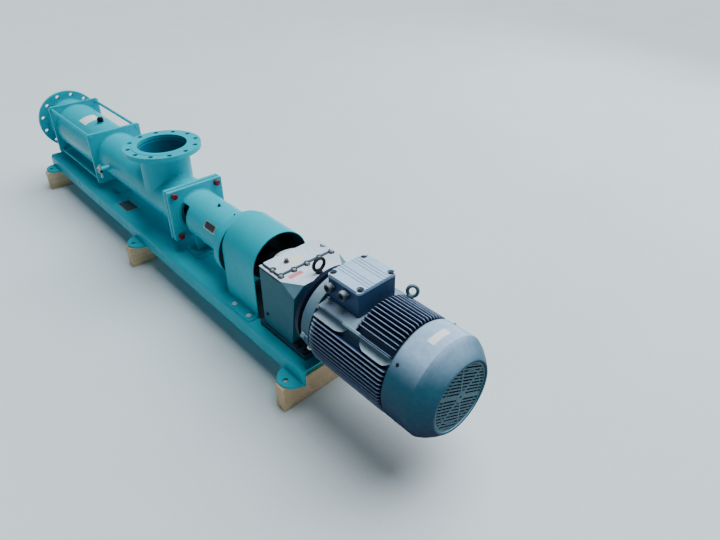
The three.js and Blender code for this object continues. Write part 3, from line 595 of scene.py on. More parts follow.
class PUMP_OT_finishes(bpy.types.Operator):
    """Make every paint, metal, rubber and timber finish"""
    bl_idname = "pump.finishes"
    bl_label = "Finishes"

    def execute(self, context):
        colours = context.scene.pump_colours
        for finishes in FINISHES.values():
            for name, (base, dust_and_sheen, grime, roughness, skin, others) in finishes.items():
                if isinstance(base, str):
                    base = getattr(colours, base)
                weathered(name, base, dust_and_sheen, grime, roughness, skin, **others)
        # Dark fin paint, then the painted highlight colours of the fin tips and of the front ends
        finned_paint("slate_fin", (0.01, 0.024, 0.075), (0.3, 0.39, 0.58), (0.5, 0.68, 0.76))
        sawn_timber("timber", tuple(colours.timber))
        plain_floor("floor", tuple(colours.floor))
        return {"FINISHED"}


# Geometry Nodes: the name of each function is the name of its tree

def geometry_tree(build, inputs):
    return group_with(build.__name__, {"Geometry": "NodeSocketGeometry", **inputs, "Finish": "NodeSocketMaterial"},
                      {"Geometry": "NodeSocketGeometry"}, "GeometryNodeTree")


def close_tree(t, given, out, geometry):
    real = t.add("GeometryNodeRealizeInstances", {0: geometry}).outputs[0]
    t.put(out["Geometry"], t.add("GeometryNodeSetMaterial", {0: real, "Material": given["Finish"]}).outputs[0])
    return t.tree


def instances(t, given, points, rotation):
    """The given piece at each point"""
    source = t.add("GeometryNodeObjectInfo", {"Object": given["Piece"], "As Instance": True}).outputs["Geometry"]
    return t.add("GeometryNodeInstanceOnPoints", {"Points": points, "Instance": source,
                                                  "Rotation": rotation}).outputs[0]


def pieces_in_ring():
    """A piece repeated round a line along X at a height, turned by a step each time"""
    t, given, out = geometry_tree(pieces_in_ring, {
        "Piece": "NodeSocketObject", "Count": 8, "First": 0.0, "Step": 0.5, "Height": 0.0})
    index = t.add("GeometryNodeInputIndex").outputs[0]
    angle = t.math("ADD", given["First"], t.product(index, given["Step"]))
    points = t.add("GeometryNodePoints", {"Count": given["Count"], "Position": t.combine(z=given["Height"])})
    return close_tree(t, given, out, instances(t, given, points.outputs[0], t.combine(x=angle)))


def pieces_at_points():
    """A piece at every vertex of the input, turned by the vertex's own angles"""
    t, given, out = geometry_tree(pieces_at_points, {"Piece": "NodeSocketObject"})
    turn = t.add("GeometryNodeInputNamedAttribute", {"Name": "turn"}, data_type="FLOAT_VECTOR").outputs[0]
    return close_tree(t, given, out, instances(t, given, given["Geometry"], turn))


def bars_in_circle():
    """Rows of parallel bars, each trimmed to a circle of the Round radius; a bar's own length is 1"""
    t, given, out = geometry_tree(bars_in_circle, {
        "Count": 10, "Start": (0.0, 0.0, 0.0), "Step": (0.0, 0.0, 10.0), "Bar": (4.0, 1.0, 4.0), "Round": 100.0})
    index = t.add("GeometryNodeInputIndex").outputs[0]
    offset = t.add("ShaderNodeVectorMath", {0: given["Step"], "Scale": index}, operation="SCALE").outputs[0]
    place = t.add("ShaderNodeVectorMath", {0: given["Start"], 1: offset}, operation="ADD").outputs[0]
    rise = t.split(place)[2]
    beyond = t.math("SUBTRACT", t.product(given["Round"], given["Round"]), t.product(rise, rise))
    chord = t.product(t.math("SQRT", t.math("MAXIMUM", beyond, 0.0)), 2.0)
    points = t.add("GeometryNodePoints", {"Count": given["Count"], "Position": place}).outputs[0]
    bar = t.add("GeometryNodeMeshCube", {"Size": given["Bar"]}).outputs[0]
    placed = t.add("GeometryNodeInstanceOnPoints", {"Points": points, "Instance": bar,
                                                    "Scale": t.combine(x=1.0, y=chord, z=1.0)}).outputs[0]
    return close_tree(t, given, out, placed)


def weld_bead():
    """Bead along the edges of the input: a round section with an uneven, rippled width"""
    t, given, out = geometry_tree(weld_bead, {"Width": 4.0, "Ripple": 0.5, "Spacing": 3.0})
    curve = t.add("GeometryNodeMeshToCurve", {0: given["Geometry"]}).outputs[0]
    even = t.add("GeometryNodeResampleCurve", {"Curve": curve, "Length": given["Spacing"]}, mode="LENGTH").outputs[0]
    wobble = t.add("ShaderNodeTexNoise", {"Scale": 0.06, "Detail": 3.0}).outputs[0]
    along = t.add("GeometryNodeSplineParameter").outputs["Length"]
    ripple = t.product(t.math("SINE", t.product(along, 0.9)), 0.35)
    change = t.product(t.math("ADD", t.math("SUBTRACT", wobble, 0.5), ripple), given["Ripple"])
    width = t.product(given["Width"], t.math("ADD", 1.0, change))
    section = t.add("GeometryNodeCurvePrimitiveCircle", {"Resolution": 8, "Radius": 1.0}).outputs[0]
    swept = t.add("GeometryNodeCurveToMesh", {"Curve": even, "Profile Curve": section, "Scale": width}).outputs[0]
    return close_tree(t, given, out, t.add("GeometryNodeSetShadeSmooth", {0: swept}).outputs[0])


def grow(name, build, values, finish, source=None):
    """Runs a tree on an object and keeps the result as a plain mesh"""
    tree = bpy.data.node_groups.get(build.__name__) or build()
    obj = source or new_object(name, bpy.data.meshes.new(name))
    run = obj.modifiers.new("nodes", "NODES")
    run.node_group = tree
    values = {**values, "Finish": PAINTS[finish]}
    for item in tree.interface.items_tree:
        if item.in_out == "INPUT" and item.name in values:
            run[item.identifier] = values[item.name]
    return apply_modifiers(obj)


def points_mesh(name, places):
    """Vertices with the angles that turn +Z to each direction; a place is (point, direction, spin)"""
    mesh = bpy.data.meshes.new(name)
    mesh.from_pydata([point for point, _, _ in places], [], [])
    turns = mesh.attributes.new("turn", "FLOAT_VECTOR", "POINT")
    for i, (_, way, spin) in enumerate(places):
        rotation = Vector(UP).rotation_difference(Vector(way)) @ Matrix.Rotation(spin, 3, "Z").to_quaternion()
        turns.data[i].vector = rotation.to_euler()[:]
    return new_object(name, mesh)


def screws(name, places, finish, head):
    """Like screws at every place, as one piece"""
    made = grow(name, pieces_at_points, {"Piece": head}, finish, points_mesh(name, places))
    bpy.data.objects.remove(head)
    return settle(made, finish)


def hex_bolt(flats, head, washer=0.0, shank=0.0):
    """Hexagon head with a chamfered crown on a washer, standing on z = 0"""
    shape, r, rise = Shape(), flats / math.sqrt(3), 0.0
    if washer > 0:
        rise = flats * 0.12
        shape.lathe([(0, 0), (0, washer), (rise, washer), (rise, 0)], 28, "Z")
    crown, top = rise + head * 0.86, rise + head
    shape.prism(circle(r, 6), rise, crown, "Z")
    shape.lathe([(crown - 0.01, 0), (crown - 0.01, r * 0.86), (top, r * 0.76), (top, 0)], 24, "Z")
    if shank > 0:
        shank_r = flats * 0.3
        shape.lathe([(rise, 0), (rise, shank_r), (-shank, shank_r), (-shank, 0)], 16, "Z")
    return soften(shape.make(), 0.35, 1)


def round_head(profile, n, *edge):
    """Turned screw head that stands on z = 0"""
    return soften(Shape().lathe(profile, n, "Z").make(), *edge)


def weld(name, path, width, closed=True):
    edges = [(i, i + 1) for i in range(len(path) - 1)]
    if closed:
        edges.append((len(path) - 1, 0))
    mesh = bpy.data.meshes.new(name)
    mesh.from_pydata(path, edges, [])
    return settle(grow(name, weld_bead, {"Width": width, "Ripple": 0.5}, "teal", new_object(name, mesh)), "teal")


def weld_ring(name, r, along, width, axis="X", u=0.0, v=0.0, n=96):
    return weld(name, [spot(axis, along, a, b) for a, b in circle(r, n, u, v)], width)


def curved_plate(name, x0, x1, a0, a1, r, thick, finish, z=0.0, steps=12, edge=(0.15, 1)):
    """Thin blank plate bent round a drum between two angles"""
    arc = [(a0 + (a1 - a0) * i / steps, r) for i in range(steps + 1)]
    outline = [(math.radians(a), d) for a, d in arc + [(a, r + thick) for a, _ in arc[::-1]]]
    loops = [[(x, d * math.cos(a), z + d * math.sin(a)) for a, d in outline] for x in (x0, x1)]
    return piece(name, Shape().loops(loops), finish, edge)


# Base and bearers

def channel_outline(half, corner, top, n=10):
    """Upright sides and two rounded top edges, open at the bottom"""
    points = [(-half, BASE_BOTTOM)]
    for side, start in ((-1, 180), (1, 90)):
        for i in range(n + 1):
            a = math.radians(start - 90 * i / n)
            points.append((side * (half - corner) + corner * math.cos(a), top - corner + corner * math.sin(a)))
    return points + [(half, BASE_BOTTOM)]


class PUMP_OT_base(bpy.types.Operator):
    """Folded channel with its six welded lugs and a blank plate"""
    bl_idname = "pump.base"
    bl_label = "Base channel"

    def execute(self, context):
        s = context.scene.pump_base
        half, sheet, corner, lug = mm(s.half_width), mm(s.sheet), mm(s.corner), mm(s.lug_radius)
        start, end, lug_top, anchor_r, anchor_y = -1493, 1468, BASE_BOTTOM + 12, 11, 247
        outer = channel_outline(half, corner, BASE_TOP)
        inner = channel_outline(half - sheet, corner - sheet, BASE_TOP - sheet)
        piece("base_channel_body", Shape().prism(outer + inner[::-1], start, end), "teal", (1.2, 2), "base_channel")
        lugs, holes, seams = Shape(), Shape(), {}
        for k, x in enumerate(LUG_X):
            for side, label in SIDES:
                edge, arc = side * (half - 2), [math.pi * i / 32 for i in range(33)]
                lugs.prism([(x + lug * math.cos(a), edge + side * (lug + 2) * math.sin(a)) for a in arc],
                           BASE_BOTTOM, lug_top, "Z")
                holes.disc(anchor_r, BASE_BOTTOM - 5, lug_top + 8, "Z", x, side * anchor_y, 32)
                path = [(x - lug + 4 + i * (2 * lug - 8) / 20, side * half, lug_top + 1) for i in range(21)]
                seams[f"lug_weld_{label}_{k + 1}"] = path
        piece("base_lugs", cut(lugs, holes), "teal", (1.5, 2))
        for name, path in seams.items():
            weld(name, path, 4.0, closed=False)
        rim_top = BASE_TOP + 1.2
        rim = Shape().prism(rounded(-448, -303, -167, -85, 3), BASE_TOP, rim_top, "Z")
        piece("base_plate_rim", rim, "plate_bright", (0.3, 1))
        field = Shape().prism(rounded(-441, -310, -160, -92, 2), rim_top, rim_top + 0.4, "Z")
        piece("base_plate_field", field, "plate_dark")
        return {"FINISHED"}


class PUMP_OT_bearers(bpy.types.Operator):
    """Sawn timber bearers with softened, slightly crushed edges"""
    bl_idname = "pump.bearers"
    bl_label = "Timber bearers"

    def execute(self, context):
        half_width, half_length, middle = 28, 286, (BASE_BOTTOM + FLOOR) / 2
        for name, x, seed in BEARERS:
            obj = Shape().box(x - half_width, x + half_width, -half_length, half_length, FLOOR, BASE_BOTTOM).make()
            obj.name = name + "_timber"
            bevel = obj.modifiers.new("bevel", "BEVEL")
            bevel.width = 2.0
            bevel.segments = 2
            apply_modifiers(obj)
            bm = bmesh.new()
            bm.from_mesh(obj.data)
            for shortest, longest, cuts in ((300, 600, 80), (40, 130, 6)):
                edges = [e for e in bm.edges if shortest < e.calc_length() < longest]
                bmesh.ops.subdivide_edges(bm, edges=edges, cuts=cuts, use_grid_fill=True)
            for v in bm.verts:
                p = v.co
                rough = abs(noise.noise(Vector((p.x * 0.12 + seed, p.y * 0.02, p.z * 0.12)))) * 0.7
                bite = noise.noise(Vector((p.x * 0.02 + seed, p.y * 0.035, p.z * 0.02 + seed)))
                chip = max(0.0, bite - 0.25) * 7.0
                to_level = min(abs(p.z - FLOOR), abs(p.z - BASE_BOTTOM))
                near_edge = abs(abs(p.x - x) - half_width) < 2.5 and to_level < 2.5
                outward = Vector((p.x - x, 0, p.z - middle)).normalized()
                v.co = p - outward * (chip * near_edge + (0.0 if to_level < 0.6 else rough))
                v.co.z = min(max(v.co.z, FLOOR), BASE_BOTTOM)
            bm.to_mesh(obj.data)
            bm.free()
            settle(soften(obj, angle=50), "timber", name)
        return {"FINISHED"}


# Flanges, stator and casing

def flange(sizes, face, back, axis):
    """Pipe flange with its bolt holes, a raised face and a weld lip at the bore; face and back are along the axis"""
    rim, bore, pitch_r = mm(sizes.flange_radius), mm(sizes.bore), mm(sizes.bolt_circle)
    out = 1 if face > back else -1
    step, dip, raised_r, hole_r = face - 3 * out, face - 0.6 * out, 160.0, 13
    ring = Shape().lathe([(back, bore), (back, rim), (step, rim), (step, raised_r), (dip, raised_r - 1.5),
                          (dip, bore + 9), (face, bore + 7.5), (face, bore)], 128, axis)
    holes = Shape()
    for y, z in circle(pitch_r, sizes.flange_holes, turn=0.5):
        holes.disc(hole_r, min(face, back) - 5, max(face, back) + 5, axis, y, z, 40)
    return cut(ring, holes)


class PUMP_OT_discharge(bpy.types.Operator):
    """Discharge branch with its flange"""
    bl_idname = "pump.discharge"
    bl_label = "Discharge branch"

    def execute(self, context):
        s = context.scene.pump_pipework
        bore, neck_r, face, back, end = mm(s.bore), 145, -1564, -1536, DISCHARGE_PLATE[0]
        piece("discharge_flange_ring", flange(s, face, back, "X"), "teal", (1.2, 2), "discharge_branch")
        neck = Shape().lathe([(back - 1, bore), (back - 1, neck_r), (end, neck_r), (end, bore)], 128)
        piece("discharge_neck", neck, "teal", (0.8, 1))
        weld_ring("discharge_flange_weld", neck_r + 1, back + 1, 5)
        weld_ring("discharge_plate_weld", neck_r + 1, end - 1, 5)
        return {"FINISHED"}


def square(h, c):
    """Square of half width h with its corners taken off by c"""
    return [(h, h - c), (h - c, h), (c - h, h), (-h, h - c), (-h, c - h), (c - h, -h), (h - c, -h), (h, c - h)]


class PUMP_OT_stator(bpy.types.Operator):
    """Stator tube between its square plates, four tie rods with nuts, plug and blank label"""
    bl_idname = "pump.stator"
    bl_label = "Stator"

    def execute(self, context):
        r, inside = mm(context.scene.pump_pipework.stator_radius), 138
        for name, (x0, x1), outline, bore in (("end_plate_discharge", DISCHARGE_PLATE, square(164, 9), 129),
                                              ("end_plate_suction", SUCTION_PLATE, square(163, 6), 118)):
            plate = cut(Shape().prism(outline, x0, x1), Shape().disc(bore, x0 - 5, x1 + 5, n=96))
            piece(name + "_plate", plate, "teal", (1.4, 2), name)
        start, end = DISCHARGE_PLATE[1], SUCTION_PLATE[0]
        tube = Shape().lathe([(start, inside), (start, r), (end, r), (end, inside)], 128)
        piece("stator_tube_shell", tube, "teal", (0.8, 1), "stator_tube")
        weld_ring("stator_weld_discharge", r + 0.5, start + 1.5, 4)
        weld_ring("stator_weld_suction", r + 0.5, end - 1.5, 4)
        plug_x = -900
        boss = Shape().lathe([(144, 0), (144, 26), (150, 23), (156, 23), (156, 0)], 40, "Z", plug_x)
        piece("plug_boss", boss, "teal", (0.8, 2))
        plug = Shape().lathe([(156, 0), (156, 19), (176, 19), (184, 15), (186, 12), (186, 0)], 40, "Z", plug_x)
        piece("stator_plug_cap", plug, "black_plastic", (0.8, 2), "stator_plug")
        nut_end, nut_r = DISCHARGE_PLATE[0], 17.3
        for k, (y, z) in enumerate(((-146, 144), (146, 144), (-146, -140), (146, -140))):
            rod = Shape().lathe([(-1407, 0), (-1407, 8), (-1405, 9), (-694, 9), (-694, 12.5), (-692.5, 11.5),
                                 (-691.8, 8), (-691.8, 0)], 28, "X", y, z)
            rod.prism(circle(nut_r, 6, y, z), nut_end - 14, nut_end)
            piece(f"tie_rod_{k + 1}_with_nuts", rod, "teal", (1.0, 2), f"tie_rod_{k + 1}")
        curved_plate("stator_label", -1085, -975, 80, 120, r + 0.15, 0.45, "label_white",
                     steps=24, edge=())
        return {"FINISHED"}


def saddle(r_across, r_along, roll, n=144, steps=8):
    """Hollow fillet where the upright branch meets the casing tube, as a ball of radius roll leaves it"""
    sink, root = 0.3, 3
    rows = []
    for i in range(n):
        c, s = math.cos(2 * math.pi * i / n), math.sin(2 * math.pi * i / n)
        y, inner = (r_across + roll) * s, (r_across - root) * s
        centre = Vector(((r_across + roll) * c, y, math.sqrt((r_along + roll) ** 2 - y ** 2)))
        from_neck, from_casing = Vector((c, s, 0)), Vector((0, centre.y, centre.z)).normalized()
        row = []
        for k in range(steps):
            sunk = sink if k in (0, steps - 1) else 0.0
            row.append(centre - from_neck.slerp(from_casing, k / (steps - 1)) * (roll + sunk))
        row.append(Vector(((r_across - root) * c, inner, math.sqrt((r_along - root) ** 2 - inner ** 2))))
        rows.append(row)
    return Shape().loops(rows, ring=True)


class PUMP_OT_casing(bpy.types.Operator):
    """Suction casing, upright branch and flange, drain stub and the bracket under the casing"""
    bl_idname = "pump.casing"
    bl_label = "Suction casing"

    def execute(self, context):
        s = context.scene.pump_pipework
        r, bore, wall = mm(s.casing_radius), mm(s.bore), 8
        neck_r, neck_top, stub_r, stub_bore = r - 1, 256, 15, 9
        start, end = SUCTION_PLATE[1], CASING_PLATE[0]
        body = join(Shape().disc(r, start, end, n=160), Shape().disc(neck_r, 0, neck_top, "Z", n=160),
                    Shape().disc(stub_r, DRAIN_END, -110, "Y", DRAIN_X, DRAIN_Z, 40))
        cut(body, Shape().disc(r - wall, start - 5, end + 5, n=160), Shape().disc(neck_r - wall, 0, 300, "Z", n=160),
            Shape().disc(stub_bore, -195, -100, "Y", DRAIN_X, DRAIN_Z, 32))
        piece("suction_casing_shell", body, "teal", (1.2, 2, 28), "suction_casing")
        piece("branch_fillet", saddle(neck_r, r, 16), "teal", (0, 1, 60))
        # Painted shade: a thin dark lining inside the branch and the flange bore
        inner, lip, thin = neck_r - wall - 0.1, bore - 0.1, 0.7
        lining = Shape().lathe([(90, inner - thin), (90, inner), (256.2, inner), (256.2, lip), (267, lip),
                                (267, lip - thin), (257, lip - thin), (257, inner - thin)], 128, "Z")
        piece("branch_inside", lining, "teal_painted_shade")
        piece("suction_flange_ring", flange(s, 284, neck_top, "Z"), "teal", (1.2, 2), "suction_flange")
        weld_ring("suction_flange_weld", neck_r + 1, neck_top - 1, 5, "Z")
        weld_ring("casing_weld_stator_end", r + 0.5, start + 1.5, 5)
        weld_ring("casing_weld_plate_end", r + 0.5, end - 1.5, 5)
        weld_ring("drain_stub_weld", stub_r + 1, -132, 3, "Y", DRAIN_X, DRAIN_Z, 48)
        foot_x = -600
        foot = Shape().prism(rounded(foot_x - 40, foot_x + 40, -100, 100, 14), BASE_TOP, FOOT_TOP, "Z")
        foot.prism([(-70, FOOT_TOP), (70, FOOT_TOP), (95, -92), (-95, -92)], foot_x - 7, foot_x + 7)
        foot.box(foot_x - 30, foot_x + 30, -6, 6, FOOT_TOP, -110)
        bracket = cut(foot, Shape().disc(r + 0.3, foot_x - 100, foot_x + 100, n=96))
        piece("casing_foot_bracket", bracket, "teal", (1.2, 2), "casing_foot")
        return {"FINISHED"}


class PUMP_OT_drain(bpy.types.Operator):
    """Drain valve: plated body on the stub with a winged handle on its stem"""
    bl_idname = "pump.drain"
    bl_label = "Drain valve"

    def execute(self, context):
        x, y, z, stem = DRAIN_X, DRAIN_END, DRAIN_Z, DRAIN_END - 8
        body = Shape().lathe([(y, 9), (y, 17), (y - 2.5, 20), (y - 13, 20), (y - 16, 17), (y - 16, 9)], 48, "Y", x, z)
        body = join(body, Shape().disc(8, x + 10, x + 24, "X", stem, z, 28))
        piece("drain_valve_ring", body, "zinc_dull", (0.8, 2), "drain_valve_body")
        seat = Shape().lathe([(y - 10, 9.1), (y - 16.4, 9.1), (y - 16.4, 13.5), (y - 10, 13.5)], 32, "Y", x, z)
        piece("drain_seat_ring", seat, "cap_pale", (0.3, 1))
        handle = Shape().lathe([(x + 24.3, 0), (x + 24.3, 9), (x + 31, 9), (x + 31, 0)], 28, "X", stem, z)
        wing = [(6, 0), (5.5, 22), (7.5, 33), (6.5, 41), (2.5, 44.6)]
        wing += [(-a, b) for a, b in wing[::-1]]
        handle.prism([(stem + a, z + b) for a, b in wing] + [(stem - a, z - b) for a, b in wing[1:-1]], x + 26, x + 31)
        piece("drain_lever_arm", handle, "zinc_bright", (0.9, 2), "drain_valve_lever", body=LEVER)
        nut = Shape().prism(circle(9, 6, stem, z), x + 31, x + 36)
        piece("drain_lever_nut", nut, "iron", (0.5, 2), body=LEVER)
        return {"FINISHED"}


# Bearing housing and guard

class PUMP_OT_housing(bpy.types.Operator):
    """Double plate with capped bolts, stuffing box, bearing housing with its windows, and the foot below it"""
    bl_idname = "pump.housing"
    bl_label = "Bearing housing"

    def execute(self, context):
        r = mm(context.scene.pump_drive.housing_radius)
        (plate, seam), (start, end), flange_x, flange_end = CASING_PLATE, HOUSING_PLATE, 748, 790
        for name, (x0, x1), bore in (("casing_plate", CASING_PLATE, 50), ("housing_plate", HOUSING_PLATE, 98)):
            slab = Shape().prism(rounded(-154, 154, -133, 149, 5, 4), x0, x1)
            if name == "housing_plate":
                slab = join(slab, Shape().disc(112, seam, start + 1, n=96))
            slab = cut(slab, Shape().disc(bore, x0 - 20, x1 + 5, n=96))
            piece(name + "_square", slab, "teal", (1.8, 3), name)
        bolts, caps = [(y, z) for y in (-122, 122) for z in (124, -112)], Shape()
        for y, z in bolts:
            caps.lathe([(end, 0), (end, 16.5), (326, 16.5), (331, 14), (333, 10), (333, 0)], 32, "X", y, z)
        piece("plate_bolt_caps", caps, "cap_red", (0.6, 2))
        screws("plate_bolts", [((plate, y, z), TO_DISCHARGE, 0.3) for y, z in bolts], "teal", hex_bolt(30, 14, 20))
        box = Shape().lathe([(338, 40.5), (seam, 40.5), (seam, 70), (338, 70), (338, 86), (350, 86), (352, 84),
                             (352, 40.5)], 96)
        piece("gland_rings", box, "iron", (1.0, 2), "gland")
        corners = [45 + 90 * i for i in range(4)]
        screws("gland_studs", around(352, 74, corners, spin=0.2, way=TO_MOTOR), "zinc", hex_bolt(19, 10, 12))
        shell = Shape().lathe([(end, 103), (end, r), (508, r), (511, r + 2), (flange_x, r + 2), (flange_x, 165),
                               (flange_end, 165), (flange_end, 36), (398, 36), (398, 103)], 160)
        window = Shape().prism(rounded(318, 393, -82, 82, 9), -140, 140, "Y")
        piece("bearing_housing_shell", cut(shell, window), "teal", (2.0, 3, 28), "bearing_housing")
        weld_ring("housing_weld", r + 0.5, end + 1.5, 5)
        # Painted shade: a dark skin on the flange face next to the guard
        skin = flange_end + 0.4
        back = Shape().lathe([(flange_end, 36.5), (flange_end, 162.5), (skin, 162.5), (skin, 36.5)], 128)
        piece("housing_flange_back", back, "guard_painted_shade")
        places = around(flange_x, 144, [22.5 + 45 * i for i in range(8)], spin=0.4, way=TO_DISCHARGE)
        screws("housing_flange_bolts", places, "zinc", hex_bolt(24, 11, 15))
        nipple = ((-2, 0), (-2, 9), (4.5, 9), (5, 5), (11, 5), (13, 3.5), (15, 3.6), (16.5, 2), (16.5, 0))
        for k, x in enumerate((548, 690)):
            shape = Shape().lathe([(r + rise, width) for rise, width in nipple], 20, "Z", x)
            piece(f"grease_nipple_{k + 1}", shape, "iron", (0.3, 1))
        curved_plate("housing_plate_rim", 566, 660, 137, 157, r + 2.1, 1.2, "plate_bright")
        curved_plate("housing_plate_field", 572, 654, 139, 155, r + 3.2, 0.35, "plate_dark")
        rivets = [place for x in (569, 657) for place in around(x, r + 3.2, (138.2, 155.8))]
        screws("housing_plate_rivets", rivets, "zinc", round_head([(0, 0), (0, 2.2), (1.0, 1.7), (1.5, 0)], 12))
        x0, x1, web, sunk = 300, 445, 372, FOOT_TOP - 1
        foot = join(Shape().prism(rounded(x0, x1, -105, 105, 14), BASE_TOP, FOOT_TOP, "Z"),
                    Shape().box(web - 7, web + 7, -70, 70, sunk, 0), Shape().box(x0 + 20, x1 - 20, -6, 6, sunk, 0))
        cut(foot, Shape().disc(r + 0.3, x0 - 50, x1 + 50, n=128))
        piece("housing_foot_bracket", foot, "teal", (1.4, 2), "housing_foot")
        places = [((x, y, FOOT_TOP), UP, 0.3) for x in (330, 415) for y in (-84, 84)]
        screws("housing_foot_bolts", places, "teal", hex_bolt(19, 11, 12))
        return {"FINISHED"}


class PUMP_OT_guard(bpy.types.Operator):
    """Arched coupling guard with its foot flanges and domed bolts"""
    bl_idname = "pump.guard"
    bl_label = "Coupling guard"

    def execute(self, context):
        s = context.scene.pump_drive
        half, sheet = mm(s.guard_half), mm(s.guard_sheet)
        start, end, centre, low, foot_top = 803, 1054, 37, BASE_TOP, BASE_TOP + 6

        def arch(h, n=72):
            return [(h, low), *((y, centre + z) for y, z in circle(h, 2 * n)[:n + 1]), (-h, low)]

        shell = Shape().prism(arch(half) + arch(half - sheet)[::-1], start, end)
        piece("coupling_guard_arch", shell, "teal", (1.0, 2), "coupling_guard")
        # Painted shade: a dark lining inside the arch, and a dark sheet on the base under and beside the guard
        lining = Shape().prism(arch(half - sheet - 0.1) + arch(half - sheet - 0.7)[::-1], start + 3, end - 3)
        piece("coupling_guard_inside", lining, "guard_painted_shade")
        inner = half - 4.5
        outline = [(806, -inner), (1091, -inner), (1091, 198), (1057, 198), (1057, inner), (806, inner)]
        piece("coupling_guard_floor", Shape().prism(outline, low, low + 0.4, "Z"), "guard_painted_shade")
        feet = Shape()
        for side in (-1, 1):
            near, far = sorted((side * (half - 2), side * 195))
            feet.prism(rounded(850, end, near, far, 16), low, foot_top, "Z")
            bend = [(side * (half + 9 - 9 * math.cos(a)), low + 15 - 9 * math.sin(a))
                    for a in (math.pi / 2 * i / 6 for i in range(7))]
            feet.prism([(side * (half - 1), foot_top), *bend], 850, end)
        piece("coupling_guard_feet", feet, "teal", (1.6, 3))
        places = [((x, side * 173, foot_top), UP, 0.4 * k) for k, x in enumerate((897, 1016)) for side in (-1, 1)]
        dome = [(0, 0), (0, 12.5), (2, 12.5), (2, 10), (5, 9.2), (7.5, 7), (8.5, 4), (8.8, 0)]
        screws("guard_bolts", places, "zinc_pale", round_head(dome, 28, 0.3, 1))
        return {"FINISHED"}


# Reducer

COVER_SCREWS = ((1195, -134.5), (1252, -134.5), (1252, -67.5), (1252, 0), (1252, 67.5), (1252, 134.5), (1195, 134.5))


def corner_tool(side):
    """What comes off the case at a slanted corner on its motor side"""
    tool = Shape()
    for x, y, z in ((1276, 154.5, 122.5), (1363, 99, 122.5), (1363, 154.5, 78), (1363, 160, 122.5), (1363, 160, 78)):
        tool.bm.verts.new((x, side * y, z))
    bmesh.ops.convex_hull(tool.bm, input=tool.bm.verts)
    return tool


def joint_outline(x0, outer, inner):
    """Open frame round three sides of the case, up to its facets"""
    start, end = 1125, 1268
    return [(x0, -outer), (end, -outer), (end, -inner), (start, -inner), (start, inner), (end, inner), (end, outer),
            (x0, outer)]


def ring_eye(name, r, bore, thick, rise, place, finish, replaces):
    """Round ring on a collar; its plane holds the collar's axis"""
    middle, radial, across = (r + bore) / 2, (r - bore) / 2, thick / 2
    rows = [[((middle + radial * b) * x, across * y, r + rise + (middle + radial * b) * z)
             for b, y in circle(1, 14)] for x, z in circle(1, 56)]
    collar = Shape().lathe([(0, 0), (0, 15), (5, 15), (9, 13), (12, 9.5), (12, 0)], 36, "Z")
    obj = join(Shape().loops(rows, ring=True), collar)
    cut(obj, Shape().disc(bore, -30, 30, "Y", 0, r + rise, 64))
    obj.data.transform(place)
    return piece(name, obj, finish, (0.4, 1, 40), replaces)


def about_motor(profile, n):
    return Shape().lathe(profile, n, "X", 0, MOTOR_Z)


def round_motor(degrees):
    """Turns what points up +Z to an angle counted from +Y round the motor axis"""
    return Matrix.Translation((0, 0, MOTOR_Z)) @ Matrix.Rotation(math.radians(degrees - 90), 4, "X")


